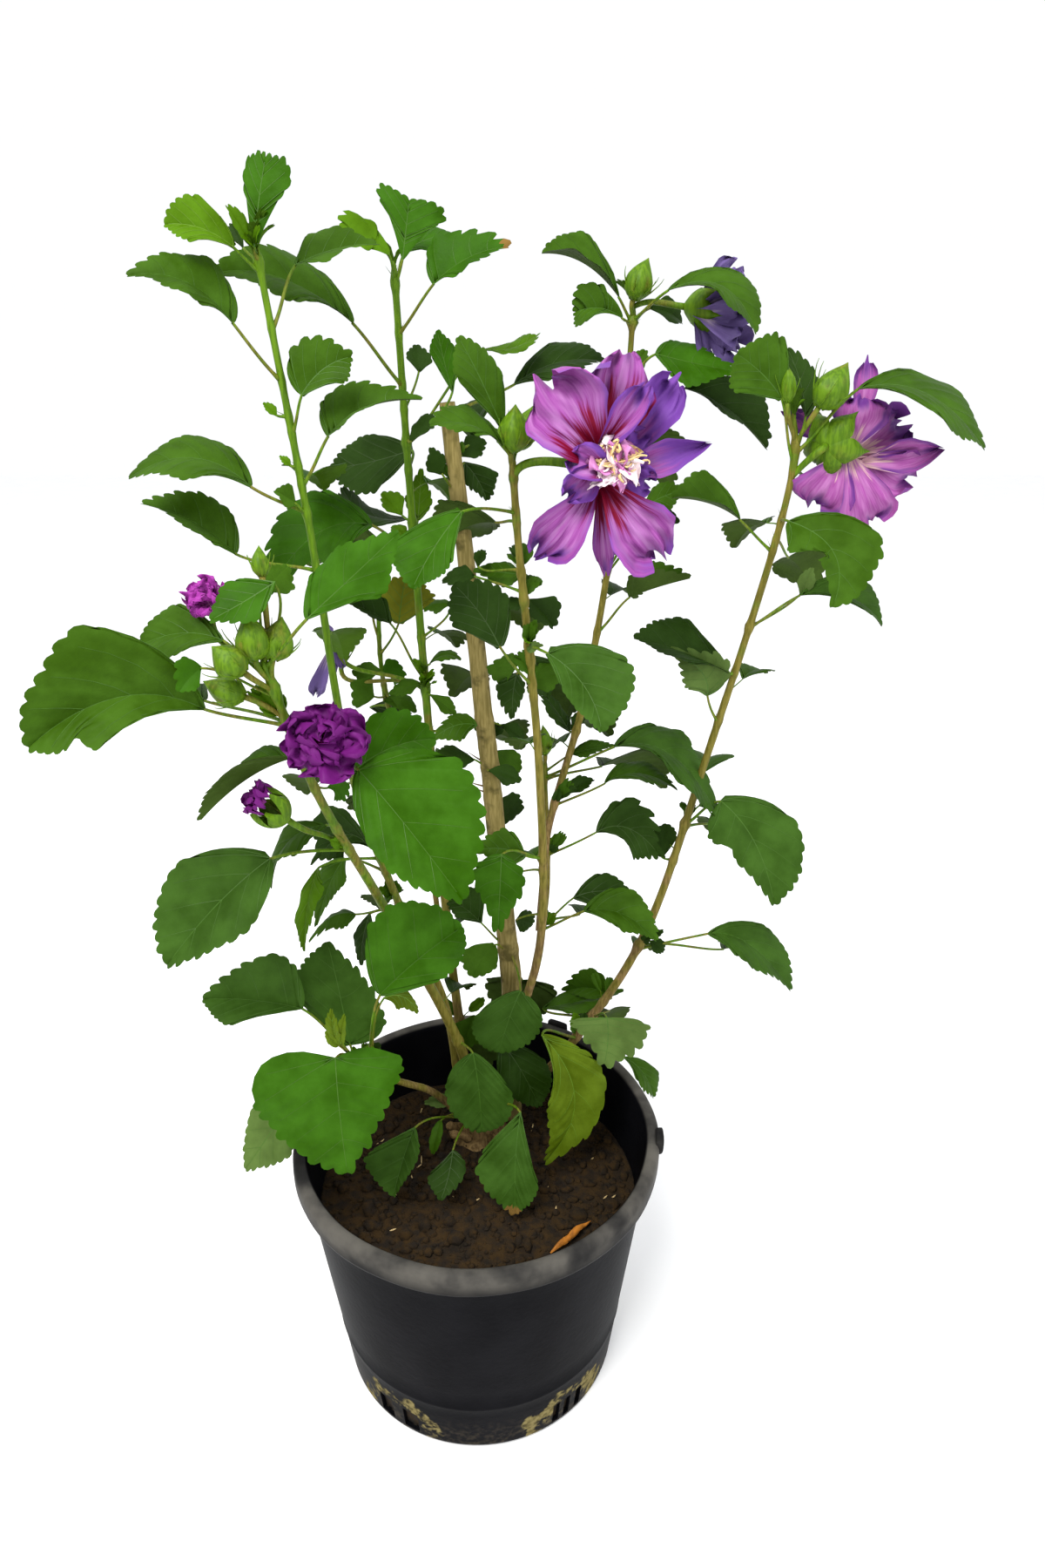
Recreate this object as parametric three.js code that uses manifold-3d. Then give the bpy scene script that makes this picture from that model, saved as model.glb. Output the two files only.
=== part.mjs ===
// A potted hibiscus shrub: a tapered nursery pot with its soil, a root crown with a pruned trunk and eight
// slender limbs, and the leaves and blooms as uneven closed masses that sit on those limbs.
// Millimetres, +Z up. The origin is the centre of the pot's flat underside, and -Y is the front.
import * as THREE from "three";
import { mergeVertices } from "three/addons/utils/BufferGeometryUtils.js";
import Module from "manifold-3d";

const wasm = await Module();
wasm.setup();

// ---- Driving dimensions ----

const GAP = 0.4; // between two solids that touch

const POT = {
  height: 185,
  rimRadius: 119.5,
  lipHeight: 16,
  lipRound: 3,
  wall: 2.5,
  wallRadiusAtLip: 113,
  baseRadius: 94,
  floor: 3,
  segments: 32,
};

// Drain slots stand in groups round the foot of the wall. Degrees are counted from +X towards +Y.
const SLOT = { bottom: 4, height: 19, reach: 14 };
const SLOT_GROUPS = [
  { heading: -123, slots: 2, width: 11, pitch: 12 },
  { heading: -51.5, slots: 3, width: 5, pitch: 5.5 },
  { heading: 20, slots: 3, width: 5, pitch: 5.5 },
  { heading: 92, slots: 3, width: 5, pitch: 5.5 },
  { heading: 164, slots: 3, width: 5, pitch: 5.5 },
];

// Two short lifting lugs stand on the rim's outside.
const LUG = { length: 16, depth: 6, drop: 9, rise: 2, sunk: 3 };
const LUG_HEADINGS = [-5, 62];

// The soil dips in waves between its level edge and the level patch that carries the root crown.
const SOIL = {
  top: 135,
  dip: 5,
  rings: 4,
  segments: 20,
  levelShare: 0.45,
  slopeShare: 0.3,
  waveX: 17,
  waveY: 23,
  wavePhase: 1,
};

const CROWN = {
  x: 4,
  y: 44,
  height: 30,
  width: 40,
  depth: 27,
  sides: 12,
  knob: 0.1,
  knobTurn: 2.4,
  // [share of the height, spread of the outline]
  levels: [
    [0, 1.5],
    [0.12, 1.15],
    [0.4, 0.85],
    [0.75, 0.7],
    [0.95, 0.45],
  ],
};

const LIMB = { sides: 6, clearSides: 4, step: 75, heightSteps: 20 };

// A mass's sleeve reaches past its outermost joints by a number of the limb's radii.
const SLEEVE = { wall: 2.4, sides: 5, overhang: 2, step: 60 };

const HEART = { radius: 9, sides: 5, bands: 3, clear: 5 };
const PETAL = { neckWidth: 6, neckShare: 0.3, share: 0.8, face: 85 };

// arch and lift raise a blade's middle: by a share of its reach, and by a share of its width.
const BLADE = {
  thickness: 3,
  stalkRadius: 1.7,
  leastStalk: 0.05,
  arch: 0.35,
  lift: 0.16,
  widestAt: 0.45,
  fullness: 0.5,
  face: 55,
};

// ---- Materials ----

const material = (color, roughness) =>
  new THREE.MeshStandardMaterial({ color, roughness, metalness: 0 });
const MATERIALS = {
  pot: material("#26272b", 0.55),
  soil: material("#2e1d12", 0.95),
  wood: material("#8f8157", 0.8),
  shoot: material("#7f8f35", 0.6),
  leaf: material("#3f7d20", 0.5),
  petal: material("#b56fce", 0.6),
};

// ---- Solids ----

const radians = THREE.MathUtils.degToRad;

// A direction on the ground: 0 degrees is +X, 90 is +Y.
const compass = (heading) =>
  new THREE.Vector3(Math.cos(radians(heading)), Math.sin(radians(heading)), 0);

function solidOf(geometry) {
  const bare = geometry.clone();
  bare.deleteAttribute("normal");
  bare.deleteAttribute("uv");
  const merged = mergeVertices(bare, 1e-4);
  return new wasm.Manifold(
    new wasm.Mesh({
      numProp: 3,
      vertProperties: new Float32Array(merged.attributes.position.array),
      triVerts: new Uint32Array(merged.index.array),
    }),
  );
}

// A closed skin over rings of equal count, drawn to a point at each end.
// Each ring turns anticlockwise when it is seen from the last ring's side.
function loft(rings, firstPoint, lastPoint) {
  const count = rings[0].length;
  const points = [firstPoint, ...rings.flat(), lastPoint];
  const triangles = [];
  const at = (ring, k) => 1 + ring * count + (k % count);
  for (let k = 0; k < count; k++) {
    triangles.push(0, at(0, k + 1), at(0, k));
    for (let ring = 0; ring + 1 < rings.length; ring++) {
      triangles.push(at(ring, k), at(ring, k + 1), at(ring + 1, k + 1));
      triangles.push(at(ring, k), at(ring + 1, k + 1), at(ring + 1, k));
    }
    const end = rings.length - 1;
    triangles.push(points.length - 1, at(end, k), at(end, k + 1));
  }
  const geometry = new THREE.BufferGeometry().setFromPoints(points);
  geometry.setIndex(triangles);
  return solidOf(geometry);
}

// An ellipse of points about a centre, from u towards v.
function ellipse(centre, u, v, halfU, halfV, sides) {
  return Array.from({ length: sides }, (_, k) => {
    const turn = (2 * Math.PI * k) / sides;
    return centre
      .clone()
      .addScaledVector(u, halfU * Math.cos(turn))
      .addScaledVector(v, halfV * Math.sin(turn));
  });
}

const largestBody = (solid) =>
  solid.decompose().reduce((a, b) => (a.volume() >= b.volume() ? a : b));

// ---- Pot ----

function potWall() {
  const { height, rimRadius, lipHeight, lipRound, wall, baseRadius } = POT;
  const lipFoot = height - lipHeight;
  const inside = POT.wallRadiusAtLip - wall;
  const profile = [
    [0, 0],
    [baseRadius, 0],
    [POT.wallRadiusAtLip, lipFoot],
    [rimRadius, lipFoot],
    [rimRadius, height - lipRound],
    [rimRadius - lipRound, height],
    [inside, height],
    [inside, lipFoot],
    [baseRadius - wall, POT.floor],
    [0, POT.floor],
  ];
  const outline = profile.map(([r, z]) => new THREE.Vector2(r, z));
  const turned = new THREE.LatheGeometry(outline, POT.segments);
  turned.rotateX(Math.PI / 2); // the lathe turns about Y, and the pot stands on Z
  return solidOf(turned);
}

// A box that stands across the wall at a heading: width runs along the wall.
function wallBox(heading, radius, width, depth, bottom, height) {
  const box = new THREE.BoxGeometry(depth, width, height);
  box.rotateZ(radians(heading));
  const middle = compass(heading).multiplyScalar(radius);
  box.translate(middle.x, middle.y, bottom + height / 2);
  return solidOf(box);
}

function makePot() {
  let pot = potWall();
  for (const group of SLOT_GROUPS)
    for (let k = 0; k < group.slots; k++) {
      const heading = group.heading + (k - (group.slots - 1) / 2) * group.pitch;
      const radius = POT.baseRadius;
      pot = pot.subtract(
        wallBox(heading, radius, group.width, SLOT.reach, SLOT.bottom, SLOT.height),
      );
    }
  for (const heading of LUG_HEADINGS) {
    const radius = POT.rimRadius - LUG.sunk + LUG.depth / 2;
    const bottom = POT.height - LUG.drop;
    pot = pot.add(
      wallBox(heading, radius, LUG.length, LUG.depth, bottom, LUG.drop + LUG.rise),
    );
  }
  return pot;
}

// ---- Soil and root crown ----

function insideRadiusAt(z) {
  const share = (z - POT.floor) / (POT.height - POT.lipHeight - POT.floor);
  const bottom = POT.baseRadius - POT.wall;
  return bottom + share * (POT.wallRadiusAtLip - POT.wall - bottom) - GAP;
}

function makeSoil() {
  const facet = Math.cos(Math.PI / POT.segments); // the pot's wall is flat between its corners
  const up = new THREE.Vector3(0, 0, 1);
  const [x, y] = [new THREE.Vector3(1, 0, 0), new THREE.Vector3(0, 1, 0)];
  const bottom = POT.floor + GAP;
  const topEdge = SOIL.top - SOIL.dip;
  const circle = (radius, z) =>
    ellipse(up.clone().multiplyScalar(z), x, y, radius, radius, SOIL.segments);
  const rings = [
    circle(insideRadiusAt(bottom) * facet, bottom),
    circle(insideRadiusAt(topEdge) * facet, topEdge),
  ];
  for (let k = 1; k <= SOIL.rings; k++) {
    const share = 1 - k / (SOIL.rings + 1);
    const ring = circle(insideRadiusAt(topEdge) * facet * share, SOIL.top);
    const outward = THREE.MathUtils.clamp((share - SOIL.levelShare) / SOIL.slopeShare, 0, 1);
    for (const point of ring) {
      const wave = Math.sin(point.x / SOIL.waveX) * Math.cos(point.y / SOIL.waveY + SOIL.wavePhase);
      point.z -= SOIL.dip * outward * (0.5 + 0.4 * wave);
    }
    rings.push(ring);
  }
  return loft(rings, new THREE.Vector3(0, 0, bottom), new THREE.Vector3(0, 0, SOIL.top));
}

// A knobby stool with a flared foot and a flat cut where it stands on the soil.
function makeCrown(extra = 0) {
  const foot = SOIL.top + GAP;
  const [u, v] = [new THREE.Vector3(1, 0, 0), new THREE.Vector3(0, 1, 0)];
  const centreAt = (share) =>
    new THREE.Vector3(CROWN.x, CROWN.y, foot + CROWN.height * share);
  const rings = CROWN.levels.map(([share, spread]) => {
    const centre = centreAt(share);
    const halfWidth = (CROWN.width / 2) * spread + extra;
    const halfDepth = (CROWN.depth / 2) * spread + extra;
    const ring = ellipse(centre, u, v, halfWidth, halfDepth, CROWN.sides);
    ring.forEach((point, k) => {
      const swell = 1 + CROWN.knob * spread * Math.sin(CROWN.knobTurn * k);
      point.sub(centre).multiplyScalar(swell).add(centre);
    });
    return ring;
  });
  const top = centreAt(1);
  top.z += extra;
  return loft(rings, centreAt(0), top);
}

// ---- Limbs ----

// Each limb's centreline rises from its foot to its tip through [x, y, z] points, and its radius runs evenly from
// the first of radii to the last.
const LIMB_PLAN = {
  trunk: {
    line: [[22, 47, 150], [24, 54, 225], [16, 60, 343], [3, 60, 495], [-10, 60, 629]],
    radii: [7.6, 4.2],
    wood: true,
  },
  left_leader: {
    line: [
      [-12, 38, 155], [-21, 35, 255], [-44, 20, 337], [-63, -10, 445], [-73, -20, 581],
      [-86, -20, 702]],
    radii: [3.2, 1.9],
    wood: true,
  },
  second_leader: {
    line: [[-6, 47, 155], [-17, 55, 269], [-27, 60, 444], [-32, 60, 585], [-34, 50, 696]],
    radii: [3.3, 1.8],
    wood: true,
  },
  front_stem: {
    line: [[-2, 34, 155], [-10, 29, 220], [-49, -10, 356], [-73, -60, 458], [-87, -80, 532]],
    radii: [4, 2.2],
    wood: true,
  },
  right_stem: {
    line: [
      [22, 49, 155], [67, 60, 208], [109, 65, 283], [141, 55, 420], [173, 41, 600],
      [170, 42, 626]],
    radii: [3.4, 1.9],
    wood: true,
  },
  middle_stem: {
    line: [[26, 43, 232], [41, 30, 306], [40, 15, 427], [27, 5, 576], [25, 0, 609]],
    radii: [3.1, 2],
    wood: true,
  },
  back_stem: {
    line: [[34, 44, 310], [45, 60, 371], [67, 75, 451], [86, 90, 580], [90, 90, 676]],
    radii: [2.6, 1.7],
  },
  bud_stem: {
    line: [[38, 40, 272], [46, 68, 320], [44, 80, 414]],
    radii: [2, 1.4],
  },
  thin_stem: {
    line: [[-25, 62, 300], [-36, 84, 370], [-57, 90, 461], [-58, 100, 530]],
    radii: [1.9, 1.3],
  },
  low_shoot: {
    line: [[-10, 34, 158], [-30, 20, 195], [-50, 0, 222], [-67, -20, 251]],
    radii: [2.8, 1.8],
    wood: true,
  },
};

function planLimb({ line, radii }) {
  const curve = new THREE.CatmullRomCurve3(line.map((point) => new THREE.Vector3(...point)));
  const length = curve.getLength();
  const [foot, tip] = [line[0][2], line.at(-1)[2]];
  const radiusAt = (share) => THREE.MathUtils.lerp(radii[0], radii[1], share);
  // The share of the length at which the rising centreline passes a height.
  const shareAt = (height) => {
    let [low, high] = [0, 1];
    for (let k = 0; k < LIMB.heightSteps; k++) {
      const middle = (low + high) / 2;
      if (curve.getPointAt(middle).z < height) low = middle;
      else high = middle;
    }
    return low;
  };
  return { curve, length, foot, tip, radiusAt, shareAt };
}

// The radius of a tube's corners, when its flat sides are to lie at a given radius.
const cornerRadius = (flatRadius, sides) => flatRadius / Math.cos(Math.PI / sides);

// A tube along a limb's centreline between two shares of its length. cornerAt gives its corners' radius at a
// share, and its ends are drawn out to points by a length.
function tubeOn(limb, from, to, cornerAt, sides, steps, drawnOut = 0) {
  const side = new THREE.Vector3(0, -1, 0);
  const rings = [];
  for (let k = 0; k <= steps; k++) {
    const share = from + ((to - from) * k) / steps;
    const tangent = limb.curve.getTangentAt(share);
    const u = side.clone().cross(tangent).normalize();
    const v = tangent.clone().cross(u);
    const radius = cornerAt(share);
    rings.push(ellipse(limb.curve.getPointAt(share), u, v, radius, radius, sides));
  }
  const endAt = (share, length) =>
    limb.curve.getPointAt(share).addScaledVector(limb.curve.getTangentAt(share), length);
  return loft(rings, endAt(from, -drawnOut), endAt(to, drawnOut));
}

// The space kept clear round a limb, which is square so that what it cuts stays simple.
const clearCornerAt = (limb, share) =>
  cornerRadius(limb.radiusAt(share) + GAP, LIMB.clearSides);

function makeLimb(limb, extra = 0) {
  const steps = Math.ceil(limb.length / LIMB.step);
  return extra
    ? tubeOn(limb, 0, 1, (share) => clearCornerAt(limb, share), LIMB.clearSides, steps, GAP)
    : tubeOn(limb, 0, 1, limb.radiusAt, LIMB.sides, steps);
}

// ---- Leaves and blooms ----

// One blade on its stalk, from a joint on a limb. heading, reach and rise place the tip from the joint, length
// and width are the blade's, and face is how far its upper side tilts from +Z to the front. clear is where the
// stalk starts from the joint.
function makeBlade(joint, { heading, reach, rise, length, width, face, clear, extra = 0 }) {
  const tip = joint.clone().addScaledVector(compass(heading), reach);
  tip.z += rise;
  const middle = joint.clone().lerp(tip, 0.5);
  middle.z += BLADE.arch * reach;
  const spine = new THREE.QuadraticBezierCurve3(joint, middle, tip);
  const upper = new THREE.Vector3(0, -Math.sin(radians(face)), Math.cos(radians(face)));
  const start = clear / spine.getLength();
  const base = Math.max(start + BLADE.leastStalk, 1 - length / spine.getLength());
  const widest = base + (1 - base) * BLADE.widestAt;
  const ringAt = (share, halfWidth, halfThickness, lift) => {
    const tangent = spine.getTangent(share);
    const across = upper.clone().cross(tangent).normalize();
    const normal = tangent.clone().cross(across);
    const centre = spine.getPoint(share);
    centre.z += lift;
    return ellipse(centre, across, normal, halfWidth + extra, halfThickness + extra, 4);
  };
  const rings = [
    ringAt(start, BLADE.stalkRadius, BLADE.stalkRadius, 0),
    ringAt(base, BLADE.stalkRadius, BLADE.stalkRadius, 0),
    ringAt(widest, width * BLADE.fullness, BLADE.thickness / 2, width * BLADE.lift),
  ];
  return loft(rings, spine.getPoint(start), tip);
}

// Each leaf mass sits on one limb. Its blades are [height of the joint on the limb, heading, reach, rise, blade
// length, blade width, face where it isn't the usual one].
const LEAF_MASSES = {
  leaves_left_tip: ["left_leader", [
    [690, 0, 5, 42, 35, 22], [688, 205, 40, 20, 30, 25]]],
  leaves_left_upper: ["left_leader", [
    [648, 210, 60, 40, 45, 28], [664, 40, 55, 35, 45, 30]]],
  leaves_left_side: ["left_leader", [
    [618, 0, 30, 30, 28, 25], [602, 15, 60, 35, 50, 30]]],
  leaves_left_lower: ["left_leader", [
    [588, 195, 80, 18, 55, 26], [562, 180, 80, 32, 50, 26]]],
  leaves_left_wide: ["left_leader", [
    [445, 302, 120, -17, 75, 70], [445, 320, 60, 45, 45, 35], [434, 100, 66, -40, 50, 36, -40]]],
  leaves_left_foot: ["left_leader", [
    [380, 205, 50, -50, 52, 20], [370, 175, 42, -35, 43, 20], [345, 190, 55, -20, 35, 14]]],
  leaves_second_tip: ["second_leader", [
    [686, 0, 10, 38, 31, 29], [684, 220, 30, 23, 25, 20], [665, 345, 60, 40, 42, 25],
    [684, 50, 45, 25, 34, 20]]],
  leaves_second_front: ["second_leader", [[640, 220, 100, 52, 70, 35]]],
  leaves_second_side: ["second_leader", [[608, 330, 20, 54, 31, 15], [608, 25, 80, 52, 48, 20]]],
  leaves_second_back: ["second_leader", [
    [592, 150, 56, -5, 54, 44], [566, 145, 50, 10, 37, 20], [562, 90, 35, 33, 35, 28]]],
  leaves_second_wide: ["second_leader", [[546, 220, 90, 0, 62, 46], [548, 145, 85, -20, 57, 44, -40]]],
  leaves_second_waist: ["second_leader", [
    [476, 192, 47, 47, 32, 19], [442, 281, 20, 6, 28, 21], [402, 92, 45, -75, 68, 54, -40]]],
  leaves_thin_stem: ["thin_stem", [
    [488, 143, 33, 45, 30, 24], [480, 332, 20, 48, 26, 30]]],
  leaves_front_head: ["front_stem", [
    [498, 205, 108, 8, 75, 54], [500, 150, 112, -20, 62, 46, -30],
    [522, 166, 63, 14, 40, 24], [528, 218, 16, 24, 27, 21], [524, 78, 36, 38, 24, 18],
    [527, 342, 66, 60, 50, 40]]],
  leaves_front_waist: ["front_stem", [[471, 197, 51, -18, 50, 21]]],
  leaves_front_lower: ["front_stem", [[413, 204, 98, -44, 76, 56], [421, 151, 51, -42, 54, 32]]],
  leaves_trunk_head: ["trunk", [
    [595, 62, 34, 11, 25, 22], [588, 55, 30, -11, 30, 28], [620, 33, 100, 30, 60, 30],
    [604, 67, 65, 24, 43, 34, -40]]],
  leaves_trunk_waist: ["trunk", [
    [442, 48, 34, -21, 28, 17], [415, 198, 33, 13, 24, 14], [407, 58, 36, -31, 24, 20]]],
  leaves_trunk_foot: ["trunk", [
    [290, 180, 41, 36, 29, 20], [284, 264, 34, -60, 45, 45, 65],
    [266, 88, 40, -82, 62, 46, -40]]],
  leaves_foot_upper: ["trunk", [[215, 299, 33, -37, 48, 44, 60]]],
  leaves_middle_head: ["middle_stem", [[606, 200, 29, 54, 43, 27], [602, 215, 44, 19, 37, 20]]],
  leaves_middle_inner: ["middle_stem", [
    [582, 228, 74, -25, 48, 41], [577, 130, 72, -25, 47, 38, -40], [550, 134, 35, -2, 30, 15],
    [536, 61, 34, -21, 32, 28]]],
  leaves_middle_wide: ["middle_stem", [
    [508, 302, 72, -22, 52, 49], [503, 100, 46, -48, 46, 27], [498, 64, 50, -31, 38, 27],
    [490, 214, 45, 59, 43, 36]]],
  leaves_middle_foot: ["middle_stem", [
    [374, 242, 51, -18, 42, 29], [345, 96, 30, -23, 22, 18]]],
  leaves_back_tip: ["back_stem", [
    [668, 197, 51, 34, 48, 21], [665, 205, 36, 10, 27, 22], [668, 11, 78, 5, 57, 35]]],
  leaves_back_inner: ["back_stem", [
    [621, 0, 82, -19, 58, 29], [636, 331, 63, 9, 45, 25], [610, 55, 61, -38, 46, 37, -40],
    [580, 121, 52, 29, 42, 33, -40]]],
  leaves_back_waist: ["back_stem", [[496, 0, 51, 36, 38, 23], [470, 104, 52, -48, 39, 31, -40]]],
  leaves_back_lower: ["back_stem", [[388, 352, 73, 16, 44, 20]]],
  leaves_bud_head: ["bud_stem", [
    [402, 339, 111, -8, 75, 41], [405, 13, 44, 15, 37, 13],
    [400, 36, 102, -35, 66, 48, -40]]],
  leaves_bud_foot: ["bud_stem", [
    [349, 343, 69, 10, 39, 27], [303, 8, 69, 0, 53, 32], [298, 344, 75, 5, 49, 24],
    [300, 47, 88, -47, 60, 44, -40]]],
  leaves_right_tip: ["right_stem", [
    [618, 347, 92, -6, 70, 27], [622, 194, 40, 38, 36, 34], [622, 106, 18, 30, 30, 20]]],
  leaves_right_shoulder: ["right_stem", [
    [571, 296, 50, -36, 50, 47], [554, 180, 49, 35, 37, 24], [550, 156, 73, 27, 31, 22],
    [593, 44, 79, -25, 53, 42, -40], [562, 51, 65, -42, 40, 32, -40]]],
  leaves_right_side: ["right_stem", [[510, 0, 78, 1, 53, 29]]],
  leaves_right_upper: ["right_stem", [[451, 196, 56, 58, 62, 36]]],
  leaves_right_mid: ["right_stem", [
    [380, 328, 66, -38, 70, 58], [376, 41, 85, -57, 70, 50, -40]]],
  leaves_right_low: ["right_stem", [[278, 355, 105, -24, 68, 38], [283, 25, 112, -57, 60, 42, -40]]],
  leaves_right_foot: ["right_stem", [
    [225, 278, 50, 0, 28, 39], [218, 5, 50, -62, 40, 20], [222, 53, 50, -3, 62, 34],
    [209, 251, 63, -56, 85, 48]]],
  leaves_low_shoot: ["low_shoot", [
    [248, 351, 64, 93, 54, 51], [248, 132, 27, 78, 66, 56], [248, 190, 89, 60, 57, 35],
    [246, 262, 62, -23, 65, 78], [246, 203, 77, -52, 56, 44]]],
  leaves_foot_left: ["front_stem", [
    [180, 234, 79, -24, 46, 32], [178, 254, 63, -25, 32, 23], [232, 310, 29, -58, 56, 48, 70]]],
  leaves_foot_front: ["right_stem", [[165, 271, 87, -19, 64, 38, 60]]],
};

// Blooms: a heart at [x, y, z], with petals drawn to their tips from it. Each petal is [x, y, z, width].
const BLOOM_MASSES = {
  bloom_front: {
    stalk: [26, 3, 596],
    heart: [68, -8, 604],
    petals: [
      [47, -18, 650, 36], [84, -12, 658, 30], [102, -16, 645, 20], [114, -18, 616, 15],
      [36, -20, 562, 22], [71, -18, 555, 12], [101, -20, 562, 34]],
  },
  bloom_right: {
    stalk: [172, 40, 592],
    heart: [192, 38, 607],
    petals: [
      [203, 60, 650, 24], [225, 66, 634, 26], [243, 60, 611, 18], [231, 66, 580, 28],
      [212, 48, 568, 28], [181, 46, 578, 26]],
  },
  bloom_double: {
    stalk: [-76, -64, 470],
    heart: [-64, -84, 488],
    petals: [
      [-84, -92, 494, 22], [-70, -100, 506, 24], [-46, -92, 500, 24], [-48, -98, 478, 22],
      [-72, -98, 472, 22]],
  },
  bloom_spent: {
    stalk: [94, 88, 668],
    heart: [124, 86, 677],
    petals: [[138, 84, 697, 18], [151, 84, 682, 22], [143, 84, 651, 24]],
  },
};

// ---- Assembly ----

const limbs = Object.fromEntries(
  Object.entries(LIMB_PLAN).map(([name, plan]) => [name, planLimb(plan)]),
);

function leafMass([limbName, rows], extra = 0) {
  const limb = limbs[limbName];
  const blades = rows.map(([height, heading, reach, rise, length, width, face = BLADE.face]) => {
    const share = limb.shareAt(height);
    const joint = limb.curve.getPointAt(share);
    const clear = rows.length > 1 ? clearCornerAt(limb, share) + SLEEVE.wall / 2 : 0;
    return makeBlade(joint, { heading, reach, rise, length, width, face, clear, extra });
  });
  if (blades.length === 1) return blades[0];
  const shares = rows.map(([height]) => limb.shareAt(height));
  const lowest = Math.min(...shares);
  const highest = Math.max(...shares);
  const overhangAt = (share) => (SLEEVE.overhang * limb.radiusAt(share)) / limb.length;
  const from = Math.max(0, lowest - overhangAt(lowest));
  const to = Math.min(1, highest + overhangAt(highest));
  const steps = Math.ceil(((to - from) * limb.length) / SLEEVE.step);
  const sleeveCornerAt = (share) =>
    cornerRadius(clearCornerAt(limb, share) + SLEEVE.wall, SLEEVE.sides) + extra;
  const drawnOut = 2 * SLEEVE.wall + extra;
  const sleeve = tubeOn(limb, from, to, sleeveCornerAt, SLEEVE.sides, steps, drawnOut);
  return blades.reduce((mass, blade) => mass.add(blade), sleeve);
}

function bloomMass({ stalk, heart, petals }, extra = 0) {
  const centre = new THREE.Vector3(...heart);
  const drawTo = ([x, y, z, width], from, share, clear) => {
    const reach = Math.hypot(x - from.x, y - from.y);
    return makeBlade(from, {
      heading: THREE.MathUtils.radToDeg(Math.atan2(y - from.y, x - from.x)),
      reach,
      rise: z - from.z,
      length: Math.hypot(reach, z - from.z) * share,
      width,
      face: PETAL.face,
      clear,
      extra,
    });
  };
  const ball = new THREE.SphereGeometry(HEART.radius + extra, HEART.sides, HEART.bands);
  const middle = solidOf(ball.translate(...heart));
  const foot = new THREE.Vector3(...stalk);
  const neck = drawTo([...heart, PETAL.neckWidth], foot, PETAL.neckShare, 0);
  const drawn = petals.map((petal) => drawTo(petal, centre, PETAL.share, HEART.clear));
  return drawn.reduce((mass, petal) => mass.add(petal), middle.add(neck));
}

// The makers of what grows take an extra thickness, so that their neighbours can be cut back clear of them.
const makers = [
  ["pot", MATERIALS.pot, () => makePot()],
  ["soil", MATERIALS.soil, () => makeSoil()],
  ["root_crown", MATERIALS.wood, makeCrown],
  ...Object.entries(LIMB_PLAN).map(([name, plan]) => [
    name,
    plan.wood ? MATERIALS.wood : MATERIALS.shoot,
    (extra) => makeLimb(limbs[name], extra),
  ]),
  ...Object.entries(BLOOM_MASSES).map(([name, plan]) => [
    name,
    MATERIALS.petal,
    (extra) => bloomMass(plan, extra),
  ]),
  ...Object.entries(LEAF_MASSES).map(([name, plan]) => [
    name,
    MATERIALS.leaf,
    (extra) => leafMass(plan, extra),
  ]),
];

// A slab that fills everything under the soil's highest point, and a wider ring where the pot's wall stands.
function potKeepOut() {
  const slab = new THREE.CylinderGeometry(POT.rimRadius, POT.rimRadius, SOIL.top, POT.segments);
  slab.rotateX(Math.PI / 2);
  slab.translate(0, 0, SOIL.top / 2 + GAP);
  const outer = POT.rimRadius + LUG.depth;
  const inner = insideRadiusAt(SOIL.top) - GAP;
  const wallOutline = [
    [inner, 0],
    [outer, 0],
    [outer, POT.height + LUG.rise + GAP],
    [inner, POT.height + GAP],
    [inner, 0],
  ].map(([r, z]) => new THREE.Vector2(r, z));
  const wall = new THREE.LatheGeometry(wallOutline, POT.segments);
  wall.rotateX(Math.PI / 2);
  return solidOf(slab).add(solidOf(wall));
}

const shrub = new THREE.Group();
shrub.name = "hibiscus_shrub";

function addMesh(name, solid, look) {
  const { vertProperties, triVerts } = solid.getMesh();
  const geometry = new THREE.BufferGeometry();
  geometry.setAttribute("position", new THREE.BufferAttribute(new Float32Array(vertProperties), 3));
  geometry.setIndex(new THREE.BufferAttribute(new Uint32Array(triVerts), 1));
  geometry.computeVertexNormals();
  const mesh = new THREE.Mesh(geometry, look);
  mesh.name = name;
  shrub.add(mesh);
}

const POTTED = ["pot", "soil"];
let taken = potKeepOut();
for (const [name, look, make] of makers) {
  if (POTTED.includes(name)) {
    addMesh(name, make(0), look);
    continue;
  }
  addMesh(name, largestBody(make(0).subtract(taken)), look);
  taken = taken.add(make(GAP));
}

export default shrub;
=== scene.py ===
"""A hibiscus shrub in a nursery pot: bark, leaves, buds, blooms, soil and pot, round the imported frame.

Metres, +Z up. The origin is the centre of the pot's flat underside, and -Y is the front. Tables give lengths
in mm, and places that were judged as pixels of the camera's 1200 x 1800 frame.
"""

import math
import random
from typing import NamedTuple

import bpy
import numpy as np
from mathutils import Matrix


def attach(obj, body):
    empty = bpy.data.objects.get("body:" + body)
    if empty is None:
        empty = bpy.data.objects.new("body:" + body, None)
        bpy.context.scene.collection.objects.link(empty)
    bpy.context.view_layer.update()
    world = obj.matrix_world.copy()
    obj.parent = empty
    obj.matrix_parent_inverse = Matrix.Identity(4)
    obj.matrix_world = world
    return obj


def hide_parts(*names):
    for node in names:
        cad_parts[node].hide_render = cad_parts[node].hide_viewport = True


MM = 0.001
RIGHT = np.array((1.0, 0.0, 0.0))
UP = np.array((0.0, 0.0, 1.0))
FRONT = np.array((0.0, -1.0, 0.0))
TURN = 2 * math.pi
TINY = 1e-9

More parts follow.
